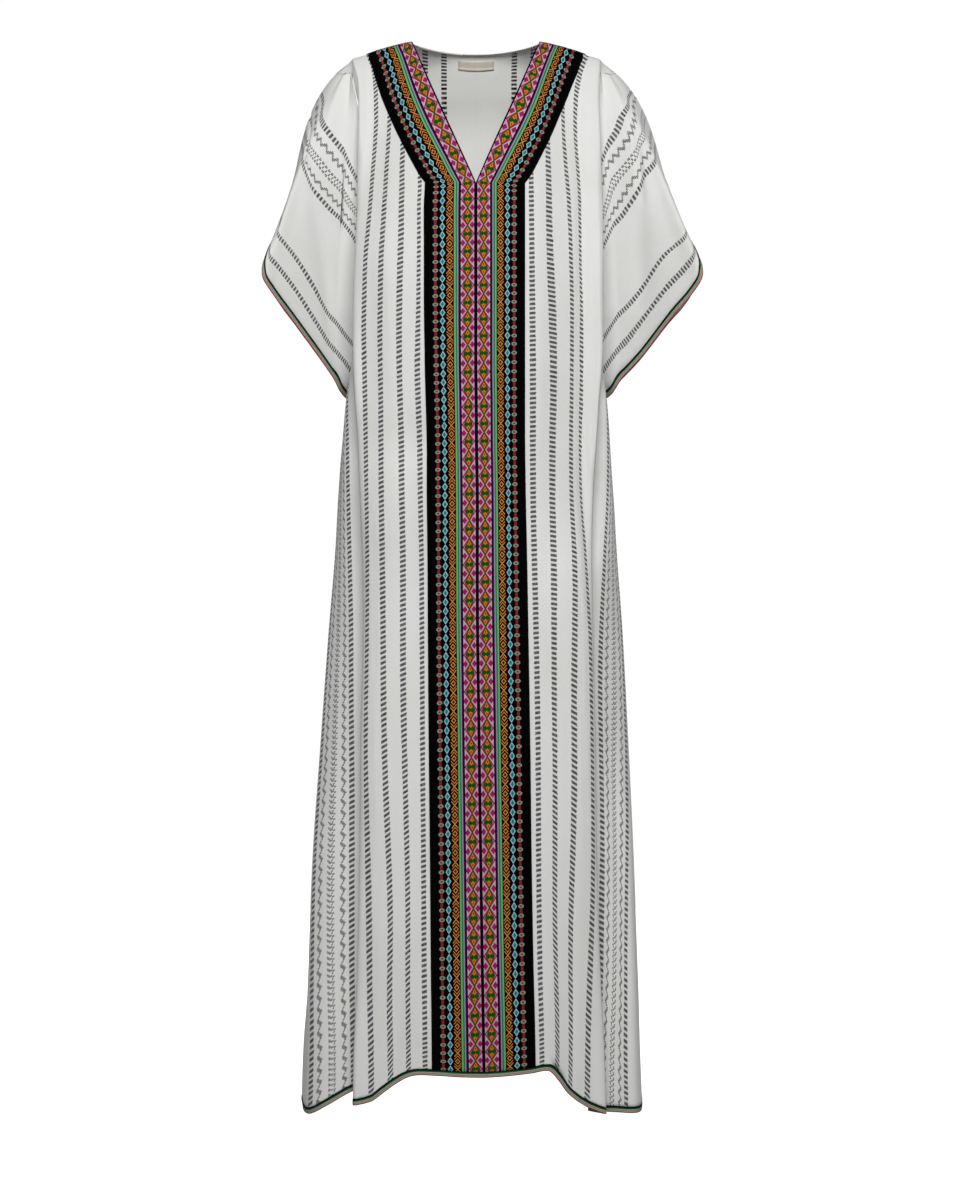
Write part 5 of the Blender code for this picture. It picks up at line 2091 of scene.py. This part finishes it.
@dataclass
class Studio:
    """The camera of the photograph, a pale floor and soft light."""

    wardrobe: Wardrobe
    image_height: int = 1200
    metres_per_pixel: float = 0.001356
    distance: float = 4.7
    aim_x: float = 0.0102
    aim_z: float = -0.755
    surround: float = 0.16
    backdrop: float = 1.02
    lit_height: float = -0.7
    floor_half: float = 3.0

    def set_camera(self) -> None:
        """Makes the camera at the photograph's viewing angle."""
        lens = bpy.data.cameras.new("camera")
        lens.sensor_fit = "VERTICAL"
        lens.angle = 2.0 * math.atan(self.image_height / 2 * self.metres_per_pixel / self.distance)
        camera = bpy.data.objects.new("camera", lens)
        camera.location = (self.aim_x, -self.distance, self.aim_z)
        camera.rotation_euler = (math.pi / 2, 0.0, 0.0)
        bpy.context.scene.collection.objects.link(camera)
        bpy.context.scene.camera = camera

    def lay_floor(self) -> None:
        """Lays the floor just below the hem."""
        work = bmesh.new()
        bmesh.ops.create_grid(work, x_segments=1, y_segments=1, size=self.floor_half)
        bmesh.ops.translate(work, vec=(0.0, 0.0, CAD_BOX[0].z - 0.001), verts=work.verts)
        new_piece("floor", work, (self.wardrobe.floor,))

    def light_room(self) -> None:
        """Lights the room: a soft grey surround, white to the camera, and two large soft lights."""
        world = bpy.data.worlds.new("studio")
        world.use_nodes = True
        board = Board(world.node_tree)
        surround = board.tree.nodes["Background"]
        surround.inputs["Color"].default_value = (1.0, 1.0, 1.0, 1.0)
        rays = board.node("ShaderNodeLightPath")
        white = self.backdrop - self.surround
        strength = board.calc("MULTIPLY_ADD", rays.outputs["Is Camera Ray"], white, self.surround)
        board.feed(surround.inputs["Strength"], strength)
        bpy.context.scene.world = world
        for lamp in LAMPS:
            lamp.set_up(Vector((0.0, 0.0, self.lit_height)))
        bpy.context.scene.view_settings.view_transform = "Standard"

    def build(self) -> None:
        """Sets up the whole studio."""
        self.set_camera()
        self.lay_floor()
        self.light_room()


def main() -> None:
    """Builds the garment in order, then the studio."""
    logging.basicConfig(level=logging.INFO, format="%(name)s %(message)s")
    wardrobe = Wardrobe()
    front = BodyPanel(Face.FRONT, "front", wardrobe, FRONT_CREASES)
    back = BodyPanel(Face.BACK, "back", wardrobe, BACK_CREASES)
    for panel in (front, back):
        panel.drape()
    front_piece, front_braid = front.sew()
    back_piece, back_braid = back.sew()
    band_pieces = [piece for side in Side for piece in FrontBand(side, front, wardrobe).sew()]
    neck_pieces = BackNeck(back, wardrobe).sew()
    for side in Side:
        sleeve = Sleeve(side, wardrobe, SLEEVE_CREASES[side])
        piece, braid = sleeve.sew()
    Studio(wardrobe).build()


# The creases of the photograph, and others like them where it doesn't show
FRONT_CREASES: dict[Side, Sequence[Crease]] = {
    Side.LEFT: (
        Crease((0.118, 0.16), (0.108, 0.80), 0.010, 0.0012),
        Crease((0.142, 0.24), (0.140, 1.00), 0.007, -0.0005),
        Crease((0.120, 0.75), (0.112, 1.70), 0.012, -0.0016),
        Crease((0.205, 0.55), (0.212, 1.65), 0.012, -0.0030),
        Crease((0.268, 0.85), (0.276, 1.75), 0.011, 0.0030),
    ),
    Side.RIGHT: (
        Crease((0.160, 0.10), (0.154, 0.84), 0.0095, -0.0056),
        Crease((0.1535, 0.10), (0.1475, 0.84), 0.0030, 0.0, 0.0035, 0.022),
        Crease((0.090, 0.22), (0.086, 0.90), 0.010, 0.0010),
        Crease((0.112, 0.80), (0.118, 1.70), 0.012, -0.0016),
        Crease((0.262, 0.80), (0.270, 1.75), 0.012, -0.0035),
    ),
}
BACK_CREASES: dict[Side, Sequence[Crease]] = {
    Side.LEFT: (
        Crease((0.060, 0.20), (0.052, 0.95), 0.012, -0.0022),
        Crease((0.124, 0.12), (0.132, 0.80), 0.010, 0.0024),
        Crease((0.105, 0.70), (0.098, 1.70), 0.015, -0.0030),
        Crease((0.215, 0.60), (0.222, 1.70), 0.014, 0.0035),
        Crease((0.280, 0.80), (0.286, 1.75), 0.012, -0.0035),
    ),
    Side.RIGHT: (
        Crease((0.040, 0.30), (0.050, 1.05), 0.013, 0.0022),
        Crease((0.110, 0.18), (0.098, 0.85), 0.011, -0.0026),
        Crease((0.140, 0.75), (0.134, 1.70), 0.014, 0.0030),
        Crease((0.208, 0.50), (0.216, 1.60), 0.013, -0.0030),
        Crease((0.268, 0.90), (0.262, 1.75), 0.012, 0.0030),
    ),
}
SLEEVE_CREASES: dict[Side, Sequence[Crease]] = {
    Side.LEFT: (
        Crease((0.262, -0.010), (0.316, 0.156), 0.0038, -0.0055, 0.0050),
        Crease((0.302, 0.120), (0.416, 0.350), 0.0100, -0.0035),
        Crease((0.255, 0.100), (0.375, 0.360), 0.0160, 0.0030),
        Crease((0.330, 0.060), (0.430, 0.200), 0.0120, -0.0020),
    ),
    Side.RIGHT: (
        Crease((0.255, 0.072), (0.327, 0.170), 0.0038, -0.0050, 0.0045),
        Crease((0.312, 0.152), (0.405, 0.292), 0.0100, -0.0032),
        Crease((0.262, 0.150), (0.365, 0.330), 0.0150, 0.0030),
        Crease((0.320, 0.040), (0.425, 0.150), 0.0120, -0.0020),
    ),
}


if __name__ == "__main__":
    main()
